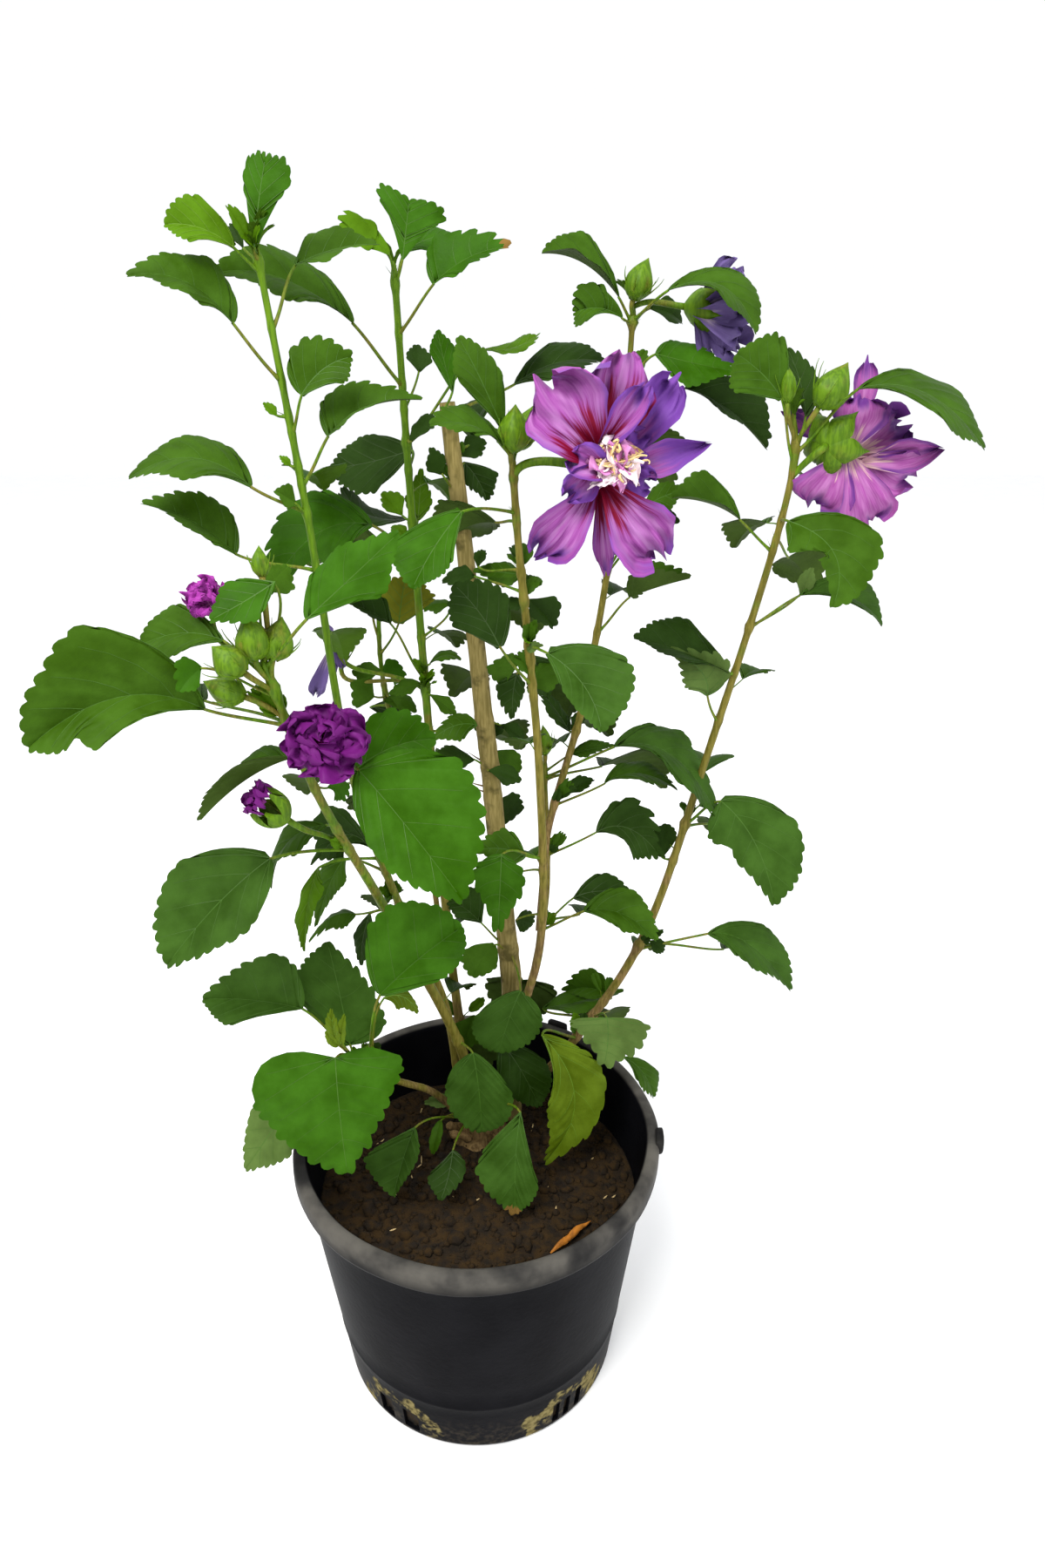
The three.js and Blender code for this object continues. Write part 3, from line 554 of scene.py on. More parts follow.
LEAVES = {
    "left_leader": [
        Leaf(300, (292, 286), (305, 181), 5, -5, (297, 234), (281, 196), (332, 206), "bright", "fan"),
        Leaf(312, (268, 284), (189, 258), 5, 10, (230, 262), (206, 274), (224, 227), "young", "broad"),
        Leaf(478, (318, 478), (302, 463), 2, 0, wide=0.6, face=50, tone="young"),
        Leaf(535, (334, 536), (321, 524), 2, 0, wide=0.6, face=50, tone="young"),
        Leaf(300, (280, 286), (266, 257), -5, -15, (274, 272), (261, 270), (277, 266), "shaded"),
        Leaf(300, (287, 282), (262, 238), 5, 5, (278, 262), (272, 264), (284, 254), "young", "strap"),
        Leaf(437, (268, 372), (147, 317), 12, 12, (214, 324), (212, 338), (240, 300)),
        Leaf(377, (338, 305), (432, 281), -10, -20, (386, 286), (370, 262), (372, 298)),
        Leaf(497, (346, 454), (403, 410), 5, -8, (371, 424), (339, 400), (396, 437), "mature", "broad"),
        Leaf(557, (376, 502), (484, 459), 0, -12, (420, 468), (382, 448), (396, 486)),
        Leaf(588, (289, 560), (148, 549), 10, 10, (222, 526), (213, 547), (236, 501)),
        Leaf(655, (271, 637), (165, 579), 5, 0, (224, 600), (226, 613), (249, 574)),
        Leaf(890, (412, 884), (531, 1033), 70, 30, (468, 950), (532, 884), (430, 978), "bright", "broad"),
        Leaf(885, (405, 886), (500, 848), 50, -10, (450, 858), (434, 820), (470, 890), "bright", "broad"),
        Leaf(985, (366, 995), (350, 1092), 10, 10, (353, 1042), (368, 1028), (341, 1045), "young"),
        Leaf(1000, (398, 985), (364, 1062), -5, 0, (381, 1010), (396, 1014), (363, 1008)),
        Leaf(1040, (409, 1050), (355, 1080), 5, 5, (381, 1053), (393, 1065), (386, 1047)),
        Leaf(1045, (425, 1048), (415, 1108), 0, 0, (417, 1078), (430, 1080), (407, 1074), "shaded"),
        Leaf(975, (425, 973), (366, 985), -15, -10, (396, 958), (395, 986), (402, 928), "shaded"),
        far_leaf(920, (425, 915), (455, 965), -35, -30),
        far_leaf(900, (385, 905), (400, 885), -30, -35),
        Leaf(590, (340, 578), (316, 563), 5, 3, (328, 570), (330, 583), (333, 556)),
    ],
    "second_leader": [
        Leaf(325, (462, 300), (470, 230), 5, -3, (466, 265), (436, 218), (508, 248), "bright", "fan"),
        Leaf(320, (447, 292), (394, 264), 10, 10, (422, 273), (414, 284), (418, 250), "young", "fan"),
        Leaf(383, (497, 327), (583, 284), 15, 0, (538, 296), (503, 274), (534, 308), "bright", scar=0.09),
        Leaf(330, (464, 290), (524, 272), -15, -15, (494, 274), (497, 262), (500, 285), "bright"),
        Leaf(442, (406, 372), (243, 315), 30, 35, (324, 320), (332, 342), (338, 292)),
        Leaf(540, (474, 516), (380, 538), -15, -15, (428, 530), (424, 564), (424, 500), "shaded", "broad"),
        Leaf(600, (468, 596), (393, 560), -20, -10, (420, 590), (418, 601), (428, 583), "shaded", "strap"),
        Leaf(610, (480, 598), (484, 538), -15, -10, (482, 570), (466, 572), (495, 576), "young"),
        Leaf(600, (462, 592), (438, 566), -5, -5, (450, 578), (442, 584), (460, 568), "young"),
        Leaf(510, (520, 452), (502, 379), 10, 0, (510, 415), (494, 404), (524, 404), "bright"),
        Leaf(510, (555, 402), (616, 385), -15, -15, (588, 400), (588, 392), (592, 405), "young", "strap"),
        Leaf(470, (481, 428), (478, 396), -15, -10, (480, 412), (467, 408), (495, 411), "shaded"),
        Leaf(505, (472, 508), (498, 477), 5, 0, (484, 490), (478, 484), (495, 492), "shaded", "strap"),
        Leaf(640, (428, 603), (310, 682), 35, 25, (362, 614), (386, 634), (340, 575), "bright"),
        Leaf(777, (449, 716), (389, 688), 10, 0, (421, 700), (426, 708), (433, 682), "shaded"),
        Leaf(732, (519, 694), (487, 700), 5, 0, (503, 693), (503, 703), (505, 688)),
        Leaf(765, (493, 763), (529, 758), 5, 0, (511, 752), (512, 746), (511, 758)),
        Leaf(785, (484, 785), (447, 797), 5, 5, (466, 789), (468, 797), (464, 780)),
        Leaf(795, (493, 797), (523, 820), 5, 0, (508, 808), (518, 803), (509, 818)),
        Leaf(840, (548, 833), (497, 849), 10, 10, (523, 833), (528, 850), (526, 819)),
        Leaf(1185, (545, 1165), (530, 1200), 5, 5, face=55),
        far_leaf(900, (470, 905), (505, 985), -25, -20),
        far_leaf(630, (435, 620), (355, 650), -25, -25),
        far_leaf(1170, (535, 1180), (560, 1225), -15, -25),
    ],
    "thin_stem": [
        Leaf(810, (424, 812), (480, 832), -6, -6, (452, 818), (455, 808), (452, 834), "shaded"),
        Leaf(795, (445, 800), (478, 818), 4, 4, (464, 804), (468, 798), (460, 816)),
        Leaf(750, (458, 716), (466, 662), 10, 0, (461, 690), (431, 683), (497, 684), "aged", "broad"),
        Leaf(730, (420, 660), (385, 640), 0, -20, face=60),
        Leaf(786, (438, 770), (404, 772), 5, 0, (420, 770), (419, 785), (421, 760)),
        Leaf(786, (440, 772), (465, 776), 5, 0, (452, 770), (450, 757), (453, 788), "bright"),
        Leaf(800, (430, 800), (406, 782), 15, 5, (418, 792), (410, 812), (426, 778)),
        Leaf(800, (440, 805), (478, 812), 5, -5, wide=0.5),
    ],
    "middle_stem": [
        Leaf(800, (606, 790), (650, 775), -14, -8, (628, 776), (626, 760), (632, 792)),
        Leaf(1000, (600, 1000), (560, 1030), -12, -6, (580, 1010), (584, 1026), (572, 998), "shaded"),
        Leaf(588, (530, 587), (474, 676), 25, 30, (498, 630), (516, 648), (448, 634), "bright", "broad"),
        Leaf(520, (575, 488), (526, 387), 5, 5, (550, 432), (520, 424), (572, 424), "mature", "broad"),
        Leaf(522, (578, 513), (494, 488), 10, 15, (540, 488), (536, 497), (532, 466)),
        Leaf(660, (600, 660), (544, 655), -10, -12, (572, 657), (580, 673), (578, 645)),
        Leaf(655, (549, 652), (555, 632), -12, -12, wide=0.5, tone="shaded"),
        Leaf(680, (546, 662), (508, 668), -15, -15, (528, 661), (526, 674), (528, 650), "shaded"),
        Leaf(690, (606, 688), (635, 719), -8, -10, (622, 702), (641, 690), (613, 710), "shaded"),
        Leaf(690, (604, 692), (577, 691), -8, -5, (590, 692), (590, 700), (590, 685), "shaded"),
        Leaf(785, (574, 743), (521, 671), 15, 10, (551, 704), (522, 716), (579, 684), "shaded", "broad"),
        Leaf(742, (629, 750), (691, 840), 25, 30, (671, 788), (721, 762), (650, 798), "dusty", "broad"),
        Leaf(760, (594, 772), (589, 824), -20, -10, (589, 798), (602, 793), (571, 790), "shaded"),
        Leaf(758, (596, 762), (560, 768), -15, -15, (578, 765), (574, 786), (584, 751)),
        Leaf(752, (608, 752), (628, 798), -20, -15, (621, 772), (644, 765), (606, 790), "shaded"),
        far_leaf(600, (570, 600), (500, 630), -30, -25),
        Leaf(985, (604, 983), (547, 976), 10, 10, (576, 974), (578, 996), (578, 953)),
        Leaf(985, (576, 980), (572, 1066), 25, 20, (574, 1024), (601, 1012), (545, 1004), "bright"),
        Leaf(1050, (592, 1056), (612, 1060), -12, -8, (602, 1057), (601, 1045), (600, 1070), "shaded",
             "round"),
        Leaf(740, (606, 748), (624, 741), 5, 5, wide=0.6, tone="pale"),
    ],
    "trunk": [
        Leaf(540, (529, 524), (558, 507), -10, -15, (543, 514), (538, 500), (550, 524), "shaded"),
        Leaf(560, (532, 530), (559, 574), -10, -10, (548, 550), (569, 545), (535, 555), "shaded"),
        Leaf(565, (508, 545), (496, 514), 5, 0, (502, 530), (490, 536), (511, 526), "shaded"),
        Leaf(475, (590, 442), (696, 416), -25, -20, (642, 416), (655, 391), (650, 432), "shaded"),
        Leaf(830, (574, 832), (600, 853), -10, -10, wide=0.5, tone="shaded"),
        Leaf(880, (560, 885), (598, 897), 8, 5, (580, 888), (586, 879), (580, 901), "shaded"),
        Leaf(855, (566, 862), (598, 884), -8, -8, (583, 871), (594, 864), (574, 884)),
        Leaf(880, (545, 872), (502, 864), 5, 5, (522, 866), (526, 880), (516, 856), "shaded"),
        Leaf(915, (573, 918), (601, 929), -12, -10, (586, 922), (592, 911), (580, 946), "shaded"),
        Leaf(1090, (568, 1084), (542, 1121), 10, 10, (554, 1101), (569, 1110), (534, 1092), "mature",
             "broad"),
        Leaf(1085, (553, 1060), (512, 1031), 5, -5, (533, 1042), (524, 1052), (548, 1021), "shaded"),
        Leaf(1088, (598, 1137), (573, 1208), 22, 8, (585, 1168), (621, 1176), (545, 1172), "dusty",
             "round"),
        Leaf(1190, (575, 1195), (619, 1270), 15, 8, (599, 1230), (628, 1222), (576, 1246), "shaded", "broad"),
        far_leaf(1120, (600, 1125), (590, 1190), -25, -15),
        far_leaf(520, (545, 505), (575, 455), -25, -35),
        far_leaf(770, (545, 775), (520, 800), -20, -25),
        far_leaf(840, (560, 845), (600, 860), -22, -28),
    ],
    "front_stem": [
        Leaf(833, (236, 815), (33, 858), 10, 35, (138, 800), (104, 864), (92, 722), "mature", "lobed",
             lobe=-0.35),
        Leaf(780, (258, 736), (159, 742), -5, -10, (210, 727), (194, 752), (198, 696)),
        Leaf(760, (316, 668), (242, 712), 0, 10, (282, 690), (294, 710), (262, 669), "bright"),
        Leaf(800, (232, 766), (206, 794), 15, 10, (218, 778), (226, 790), (208, 756), "bright"),
        Leaf(760, (300, 680), (330, 650), -15, -20, (316, 664), (308, 652), (334, 678)),
        Leaf(765, (351, 712), (458, 612), 20, 0, (403, 664), (374, 640), (440, 678), "bright"),
        Leaf(885, (333, 871), (231, 941), 5, 10, (281, 896), (258, 889), (294, 862)),
        Leaf(975, (311, 985), (192, 1108), 15, 25, (250, 1038), (286, 1062), (202, 998), "dusty", "broad"),
        Leaf(952, (376, 947), (312, 1020), -12, -8, (330, 968), (338, 978), (318, 964)),
        Leaf(1195, (543, 1208), (553, 1299), 10, 12, (550, 1252), (588, 1262), (513, 1254), "dusty",
             "round"),
        Leaf(830, (236, 805), (130, 825), -35, -20, face=-30, tone="shaded"),
        Leaf(905, (375, 905), (392, 918), -8, -4, (386, 906), (398, 898), (384, 920), "bright"),
    ],
    "low_shoot": [
        Leaf(1200, (436, 1142), (531, 1064), 20, -8, (483, 1099), (440, 1048), (514, 1118), "bright",
             "blunt"),
        Leaf(1225, (391, 1198), (381, 1160), 34, 5, wide=0.3, face=60, tone="yellow", form="strap"),
        Leaf(1225, (393, 1198), (396, 1166), 36, 5, wide=0.26, face=60, tone="yellow", form="strap"),
        Leaf(1225, (389, 1200), (374, 1184), 34, 5, wide=0.35, face=60, tone="yellow", form="strap"),
        Leaf(1215, (402, 1200), (376, 1081), 5, -20, (390, 1140), (341, 1138), (440, 1168), "dusty",
             "broad"),
        Leaf(1225, (348, 1158), (233, 1147), 10, 5, (290, 1148), (252, 1175), (316, 1097), "dusty"),
        Leaf(1225, (385, 1214), (399, 1346), 30, 20, (390, 1277), (462, 1216), (290, 1250), "bright",
             "heart", wide=1.3),
        Leaf(1225, (340, 1256), (282, 1342), 12, 12, (311, 1300), (333, 1324), (290, 1274), "pale"),
        Leaf(1150, (440, 1146), (480, 1162), 5, -8, (462, 1144), (466, 1136), (456, 1158), "yellow",
             "lobed"),
    ],
    "crown": [
        Leaf(1280, (476, 1294), (452, 1373), 45, 25, (462, 1334), (479, 1330), (421, 1330), "dusty"),
        Leaf(1280, (520, 1320), (506, 1378), 45, 22, (515, 1350), (534, 1344), (492, 1352), "shaded"),
        Leaf(1270, (520, 1262), (488, 1266), 5, 5, wide=0.5, tone="pale"),
        Leaf(1272, (506, 1286), (497, 1324), 25, 14, wide=0.36, face=60, form="strap"),
        Leaf(1275, (598, 1276), (592, 1393), 40, 30, (592, 1332), (617, 1364), (549, 1342), "dusty",
             scar=0.1),
    ],
    "back_stem": [
        Leaf(650, (738, 584), (785, 564), 20, 12, (762, 570), (758, 555), (767, 587)),
        Leaf(655, (742, 598), (780, 600), 14, 10, (762, 594), (764, 584), (762, 605), "shaded"),
        far_leaf(775, (668, 785), (650, 825), -30, -20),
        far_leaf(560, (700, 545), (655, 490), -20, -25),
        far_leaf(500, (730, 500), (770, 560), -30, -20),
        Leaf(475, (785, 446), (879, 515), -5, 0, (833, 469), (868, 444), (838, 478), "shaded"),
        Leaf(440, (752, 406), (848, 427), 15, 12, (800, 418), (782, 391), (788, 441), "bright"),
        Leaf(370, (711, 342), (622, 291), 5, 5, (670, 302), (652, 287), (668, 268)),
        Leaf(372, (715, 366), (661, 358), 8, 5, (690, 354), (666, 373), (676, 325), "mature", "fan"),
        Leaf(368, (766, 334), (868, 382), 22, 8, (828, 328), (864, 324), (836, 348)),
        Leaf(372, (745, 354), (783, 371), -12, -10, wide=0.7, face=50, tone="shaded"),
        Leaf(725, (722, 686), (792, 664), 5, -5, (755, 674), (748, 648), (719, 660)),
        Leaf(840, (654, 840), (623, 796), -8, -10, (640, 818), (632, 822), (647, 814), "shaded", "strap"),
        Leaf(838, (656, 838), (670, 816), -8, -10, wide=0.5, tone="shaded"),
        Leaf(924, (694, 900), (777, 907), 5, 5, (733, 888), (727, 873), (738, 897)),
        Leaf(918, (650, 912), (681, 895), 0, -10, wide=0.55, face=35, tone="shaded"),
        far_leaf(820, (668, 828), (700, 845), -25, -28),
    ],
    "right_stem": [
        far_leaf(540, (930, 550), (990, 575), -25, -30),
        far_leaf(620, (905, 640), (935, 680), -30, -20),
        far_leaf(950, (820, 945), (865, 990), -20, -35),
        far_leaf(1085, (830, 1090), (885, 1115), -25, -25, wide=0.7),
        far_leaf(1170, (700, 1160), (690, 1195), -15, -20),
        Leaf(1190, (622, 1188), (627, 1332), 35, 22, (660, 1262), (694, 1240), (629, 1272), "yellow"),
        Leaf(1165, (697, 1168), (694, 1221), 30, 15, (698, 1194), (742, 1181), (658, 1171), "pale", "broad",
             wide=1.5),
        Leaf(1180, (715, 1213), (750, 1259), -5, 0, (738, 1231), (758, 1241), (735, 1246)),
        Leaf(1170, (622, 1158), (716, 1138), -15, -15, (668, 1149), (668, 1132), (670, 1162)),
        Leaf(1150, (702, 1144), (650, 1138), -20, -15, (677, 1134), (674, 1146), (680, 1113)),
        Leaf(1090, (812, 1072), (907, 1136), 0, 8, (860, 1084), (892, 1074), (860, 1108), "dusty"),
        Leaf(1085, (746, 1080), (762, 1092), 0, 0, wide=0.8, tone="shaded"),
        Leaf(945, (827, 919), (889, 1038), 10, 20, (867, 968), (916, 952), (819, 964), "dusty", "broad",
             lobe=0.2),
        Leaf(945, (802, 925), (824, 926), -10, -8, wide=0.7, face=40, tone="shaded"),
        Leaf(988, (759, 984), (766, 946), -5, -5, (762, 965), (748, 962), (776, 962), "shaded", "round"),
        Leaf(772, (838, 774), (728, 733), 2, 5, (788, 750), (776, 757), (780, 710), "shaded"),
        Leaf(828, (812, 799), (776, 750), 5, 6, (806, 772), (788, 788), (838, 768), "pale"),
        Leaf(597, (905, 598), (956, 697), 20, 20, (958, 636), (1009, 616), (908, 634), "mature", "lobed",
             wide=1.0, lobe=0.85),
        Leaf(720, (917, 684), (1012, 719), 0, 0, (972, 684), (1000, 672), (996, 704), "dusty"),
        Leaf(720, (919, 683), (932, 652), -4, -4, wide=0.6, face=40, tone="pale"),
        Leaf(633, (850, 597), (772, 572), 0, 0, (815, 578), (800, 572), (808, 542)),
        Leaf(520, (984, 447), (1129, 514), 5, 12, (1062, 451), (1086, 440), (1088, 490)),
        Leaf(530, (898, 458), (846, 406), 5, 5, (876, 430), (834, 440), (892, 386), "mature", "broad"),
        Leaf(520, (925, 480), (904, 400), -5, -12, (919, 440), (904, 436), (940, 438), "shaded"),
    ],
    "bud_stem": [
        far_leaf(895, (690, 880), (760, 905), -25, -35),
        far_leaf(1060, (665, 1050), (715, 1065), -30, -35),
        Leaf(892, (704, 858), (824, 938), 15, 18, (770, 866), (776, 838), (788, 906), "dusty"),
        Leaf(885, (655, 866), (705, 857), 0, -8, (680, 860), (678, 850), (674, 868)),
        Leaf(981, (684, 956), (756, 980), 10, 8, (720, 950), (710, 918), (728, 984), "shaded"),
        Leaf(1062, (658, 1031), (724, 1030), -5, -5, (690, 1023), (697, 1003), (690, 1042), "shaded"),
        Leaf(1067, (670, 1046), (753, 1079), 8, 8, (714, 1049), (724, 1022), (714, 1067)),
    ],
}

# Half outlines of a blade: (share of the length, share of the full width).
OUTLINES = {
    "rhombic": [(0, 0), (0.02, 0.05), (0.12, 0.17), (0.28, 0.35), (0.44, 0.48), (0.54, 0.5), (0.7, 0.38),
                (0.86, 0.19), (0.95, 0.08), (1, 0)],
    "broad": [(0, 0), (0.0, 0.08), (0.06, 0.24), (0.2, 0.42), (0.38, 0.5), (0.56, 0.47), (0.74, 0.34),
              (0.88, 0.18), (0.96, 0.07), (1, 0)],
    "lobed": [(0, 0), (0.02, 0.06), (0.12, 0.2), (0.28, 0.4), (0.42, 0.5), (0.54, 0.43), (0.64, 0.33),
              (0.78, 0.25), (0.9, 0.15), (1, 0)],
    "fan": [(0, 0), (0.1, 0.06), (0.3, 0.16), (0.5, 0.28), (0.7, 0.42), (0.84, 0.5), (0.95, 0.46),
            (1.0, 0.26), (1, 0)],
    "blunt": [(0, 0), (0.01, 0.08), (0.1, 0.26), (0.28, 0.44), (0.5, 0.5), (0.72, 0.46), (0.88, 0.34),
              (0.97, 0.2), (1, 0)],
    "heart": [(0, 0), (-0.05, 0.1), (-0.09, 0.24), (0.0, 0.42), (0.18, 0.5), (0.38, 0.47), (0.6, 0.37),
              (0.8, 0.23), (0.92, 0.1), (1, 0)],
    "strap": [(0, 0), (0.05, 0.14), (0.2, 0.32), (0.4, 0.46), (0.6, 0.5), (0.8, 0.41), (0.93, 0.22), (1, 0)],
    "round": [(0, 0), (0.01, 0.12), (0.1, 0.32), (0.28, 0.47), (0.5, 0.5), (0.72, 0.42), (0.9, 0.24), (1, 0)],
}
TOOTH_STEPS = 4
PLAIN_STEPS = 8
COLUMNS = np.array((0, 0.2, 0.42, 0.64, 0.84, 1.0))
BLADE_HALF_THICKNESS = 0.16 * MM
VEIN_LIFT = 0.08 * MM
VEINED_LENGTH, GROWN_LENGTH, COARSE_LENGTH = 26 * MM, 44 * MM, 20 * MM
MIDRIB_POINTS = 14
PETIOLE_RINGS = 14
TUFT_LEAVES = 4


def half_blade(form, teeth, depth, start, rng):
    """One half of a flat blade: for each row and column the place along it, the place across as a share of
    the half width, the share of the way to the edge and the place between veins. Last, where it's widest."""
    outline = curve_through(OUTLINES[form], 12)
    widest = float(outline[np.argmax(outline[:, 1]), 0])
    cut = max(2, len(outline[outline[:, 0] < start]))
    edge = np.vstack([
        resample(outline[: cut + 1], PLAIN_STEPS + 1)[:-1],
        resample(outline[cut:], teeth * TOOTH_STEPS + 1),
    ])
    tangent = np.gradient(edge, axis=0)
    tangent /= np.linalg.norm(tangent, axis=1)[:, None] + TINY
    outward = np.stack([-tangent[:, 1], tangent[:, 0]], axis=1)
    if outward[len(edge) // 2, 1] < 0:
        outward = -outward
    k = np.arange(len(edge)) - PLAIN_STEPS
    tooth = np.where(k > 0, np.abs(np.sin(math.pi * k / TOOTH_STEPS)) ** 0.7, 0)
    sizes = np.array([rng.uniform(0.5, 1.4) for _ in range(teeth + 1)])
    size = sizes[np.clip(k, 0, None) // TOOTH_STEPS % (teeth + 1)]
    push = (tooth * size * depth)[:, None]
    edge = edge + outward * push + tangent * push * 0.15
    edge[0], edge[-1] = (0, 0), (1, 0)
    inner = np.maximum.accumulate(np.clip(edge[:, 0] - 0.75 * edge[:, 1], 0, 1))
    inner[-1] = 1
    along = inner[:, None] + (edge[:, 0] - inner)[:, None] * COLUMNS
    across = 2 * edge[:, 1][:, None] * COLUMNS
    share = np.broadcast_to(COLUMNS, along.shape)
    vein = np.broadcast_to(np.where(k > 0, k / TOOTH_STEPS, k / PLAIN_STEPS)[:, None], along.shape)
    return along, across, share, vein, widest


class BladeFrame:
    """Bends flat blade coordinates on to a leaf's midrib and out to the widest points of its halves."""

    def __init__(self, base, middle, tip, left, right, rng):
        self.base, self.tip = base, tip
        self.length = np.linalg.norm(tip - base)
        self.middle = 2 * middle - (base + tip) / 2
        self.upper = unit(np.cross(right - left, tip - base))
        self.halves = {hand: self.measure(point) for hand, point in ((-1, left), (1, right))}
        self.crown = rng.uniform(0.05, 0.11)
        self.ruffle = rng.uniform(0.010, 0.030)
        self.waves = rng.uniform(1.6, 2.8)
        self.phase = rng.uniform(0, 6.28)

    def measure(self, point):
        """Where along the midrib a half is widest, and its widest point's place from there."""
        axis = (self.tip - self.base) / self.length
        t = float(np.clip((point - self.base) @ axis / self.length, 0.08, 0.86))
        spine, heading, side, normal = (v[0] for v in self.frame(np.array([t])))
        off = point - spine
        return t, off @ heading, off @ side, off @ normal

    def start(self):
        return unit(self.middle - self.base)

    def frame(self, t):
        return bent_frame(self.base, self.middle, self.tip, self.upper, t)

    def bend(self, hand, widest, along, across, share, lift):
        """Points of the half on one hand, from their flat places and their lift off the blade."""
        reach_t, ahead, out, rise = self.halves[hand]
        power = min(2.0, max(0.5, math.log(reach_t) / math.log(widest)))
        t = np.minimum(np.asarray(along, float), 1.05)
        t = np.where(t < 0, t, np.abs(t) ** (1 + (power - 1) * np.asarray(share, float)))
        spine, heading, side, normal = self.frame(t)
        u = np.asarray(across, float)
        wave = np.sin(TURN * self.waves * t + self.phase + hand * 1.1)
        swell = self.crown * (u - u**2).clip(-0.2, 0.25) + self.ruffle * wave * u**2
        height = rise * u + self.length * swell + lift
        shift = heading * (ahead * u)[..., None] + side * (out * u)[..., None]
        return spine + shift + normal * height[..., None]


def add_blade(leaves, veins, blade, leaf, rng, coarse=False):
    """A leaf blade of two skins that meet at its toothed edge, and its veins."""
    big = blade.length > VEINED_LENGTH
    grown = blade.length > GROWN_LENGTH
    teeth = 3 if coarse else 9 if grown else 6 if big else 4
    depth = (0.034 if grown else 0.05 if big else 0.06) * rng.uniform(0.8, 1.25)
    start = 0.62 if leaf.form == "fan" else 0.3
    tone = TONES.index(leaf.tone)
    ink = VEIN_SLOTS.get(leaf.tone, 1)
    under = YOUNG_UNDERSIDE if leaf.tone in ("young", "bright") else UNDERSIDE
    for hand in (1, -1):
        along, across, share, vein, widest = half_blade(leaf.form, teeth, depth, start, rng)
        if leaf.lobe * hand > 0:
            notch = np.exp(-(((along - widest - 0.17) / 0.075) ** 2)) * abs(leaf.lobe)
            across = across * (1 - notch * share)
        rows, columns = along.shape
        pucker = 0.006 * blade.length * np.sin(math.pi * vein) ** 2 * np.sin(math.pi * share)
        faces = []
        for i in range(rows - 1):
            for j in range(columns - 1):
                a, b = i * columns + j, i * columns + j + 1
                c, d = b + columns, a + columns
                if i == 0:
                    faces.append((a, c, d))
                elif i == rows - 2:
                    faces.append((a, b, c))
                else:
                    faces += [(a, b, c), (a, c, d)]
        skin = BLADE_HALF_THICKNESS * (1 - share**4)
        for face_side, slot in ((1, tone), (-1, under)):
            points = blade.bend(hand, widest, along, across, share, pucker + face_side * skin)
            turned = faces if (face_side * hand) < 0 else [tuple(reversed(f)) for f in faces]
            dried = [f for f in turned if along.ravel()[list(f)].min() > 1 - leaf.scar]
            if leaf.scar > 0 and dried:
                leaves.add(points.reshape(-1, 3), dried, TONES.index("scorched"))
                turned = [f for f in turned if f not in dried]
            leaves.add(points.reshape(-1, 3), turned, slot)
        if not big:
            continue
        for i in range(PLAIN_STEPS // 2, rows - 3):
            tooth_tip = (i - PLAIN_STEPS) % (TOOTH_STEPS * (2 if grown else 1)) == TOOTH_STEPS // 2
            if not (tooth_tip and i > PLAIN_STEPS or i == PLAIN_STEPS - 2):
                continue
            width = (0.24 if i > PLAIN_STEPS + TOOTH_STEPS else 0.36) * MM
            add_vein(veins, blade, (hand, widest), (along[i], across[i], share[i]), pucker[i], width, ink)
    if big:
        t, flat = np.linspace(0, 0.95, MIDRIB_POINTS), np.zeros(MIDRIB_POINTS)
        add_vein(veins, blade, (1, 0.5), (t, flat, flat), flat, 0.6 * MM, ink)


def add_vein(veins, blade, half, line, lift, width, slot):
    """A flat strip just above the blade's upper skin, which narrows to its end."""
    count = len(lift)
    middle = blade.bend(*half, *line, lift + BLADE_HALF_THICKNESS + VEIN_LIFT)
    above = blade.bend(*half, *line, lift + BLADE_HALF_THICKNESS + 2 * MM)
    heading = np.gradient(middle, axis=0)
    side = np.cross(heading, above - middle)
    side /= np.linalg.norm(side, axis=1)[:, None] + 1e-12
    half = (width / 2 * np.linspace(1, 0.35, count))[:, None]
    last = count if count > 6 else count - 1
    points = np.stack([middle - side * half, middle + side * half], axis=1)[:last]
    veins.add(points.reshape(-1, 3), grid_faces(last, 2), slot)


def add_petiole(stalks, joint, base, arrive, radius, age, limb_radius):
    """A leaf stalk from inside the limb, swollen at its foot, that runs into the midrib."""
    gap = base - joint
    length = np.linalg.norm(gap)
    level = gap * (1, 1, 0)
    outward = unit(level + 1e-6) if np.linalg.norm(level) > 1e-6 else FRONT
    foot = joint + outward * limb_radius * 0.3
    leave = unit(unit(gap) * 0.7 + outward * 0.25 + UP * 0.12)
    meet = unit(arrive + unit(gap) * 1.5)
    end = base + arrive * 0.8 * MM
    path = bezier(foot, foot + leave * length * 0.35, base - meet * length * 0.3, end, PETIOLE_RINGS)
    shares = np.linspace(0, 1, PETIOLE_RINGS)
    swell = 1 + 0.55 * np.exp(-((shares * length / (2.5 * MM)) ** 2)) - 0.25 * shares
    add_tube(stalks, path, radius * swell, 8, ages=age)


def add_spike(stalks, start, direction, length, radius, age=0.1):
    """A thin stipule or bract that tapers to a point."""
    shares = np.linspace(0, 1, 6)[:, None]
    side, _ = two_sides(direction)
    path = start + direction * length * shares + (side * 0.12 + UP * 0.1) * length * shares**2
    add_tube(stalks, path, radius * (1.05 - shares[:, 0]), 5, ages=age)


def upper_side(face, roll=0.0):
    """The direction that a blade's upper side faces, before it is squared to the midrib."""
    tilt, side = math.radians(face), math.radians(roll)
    return np.array((math.sin(side), -math.sin(tilt), math.cos(tilt)))


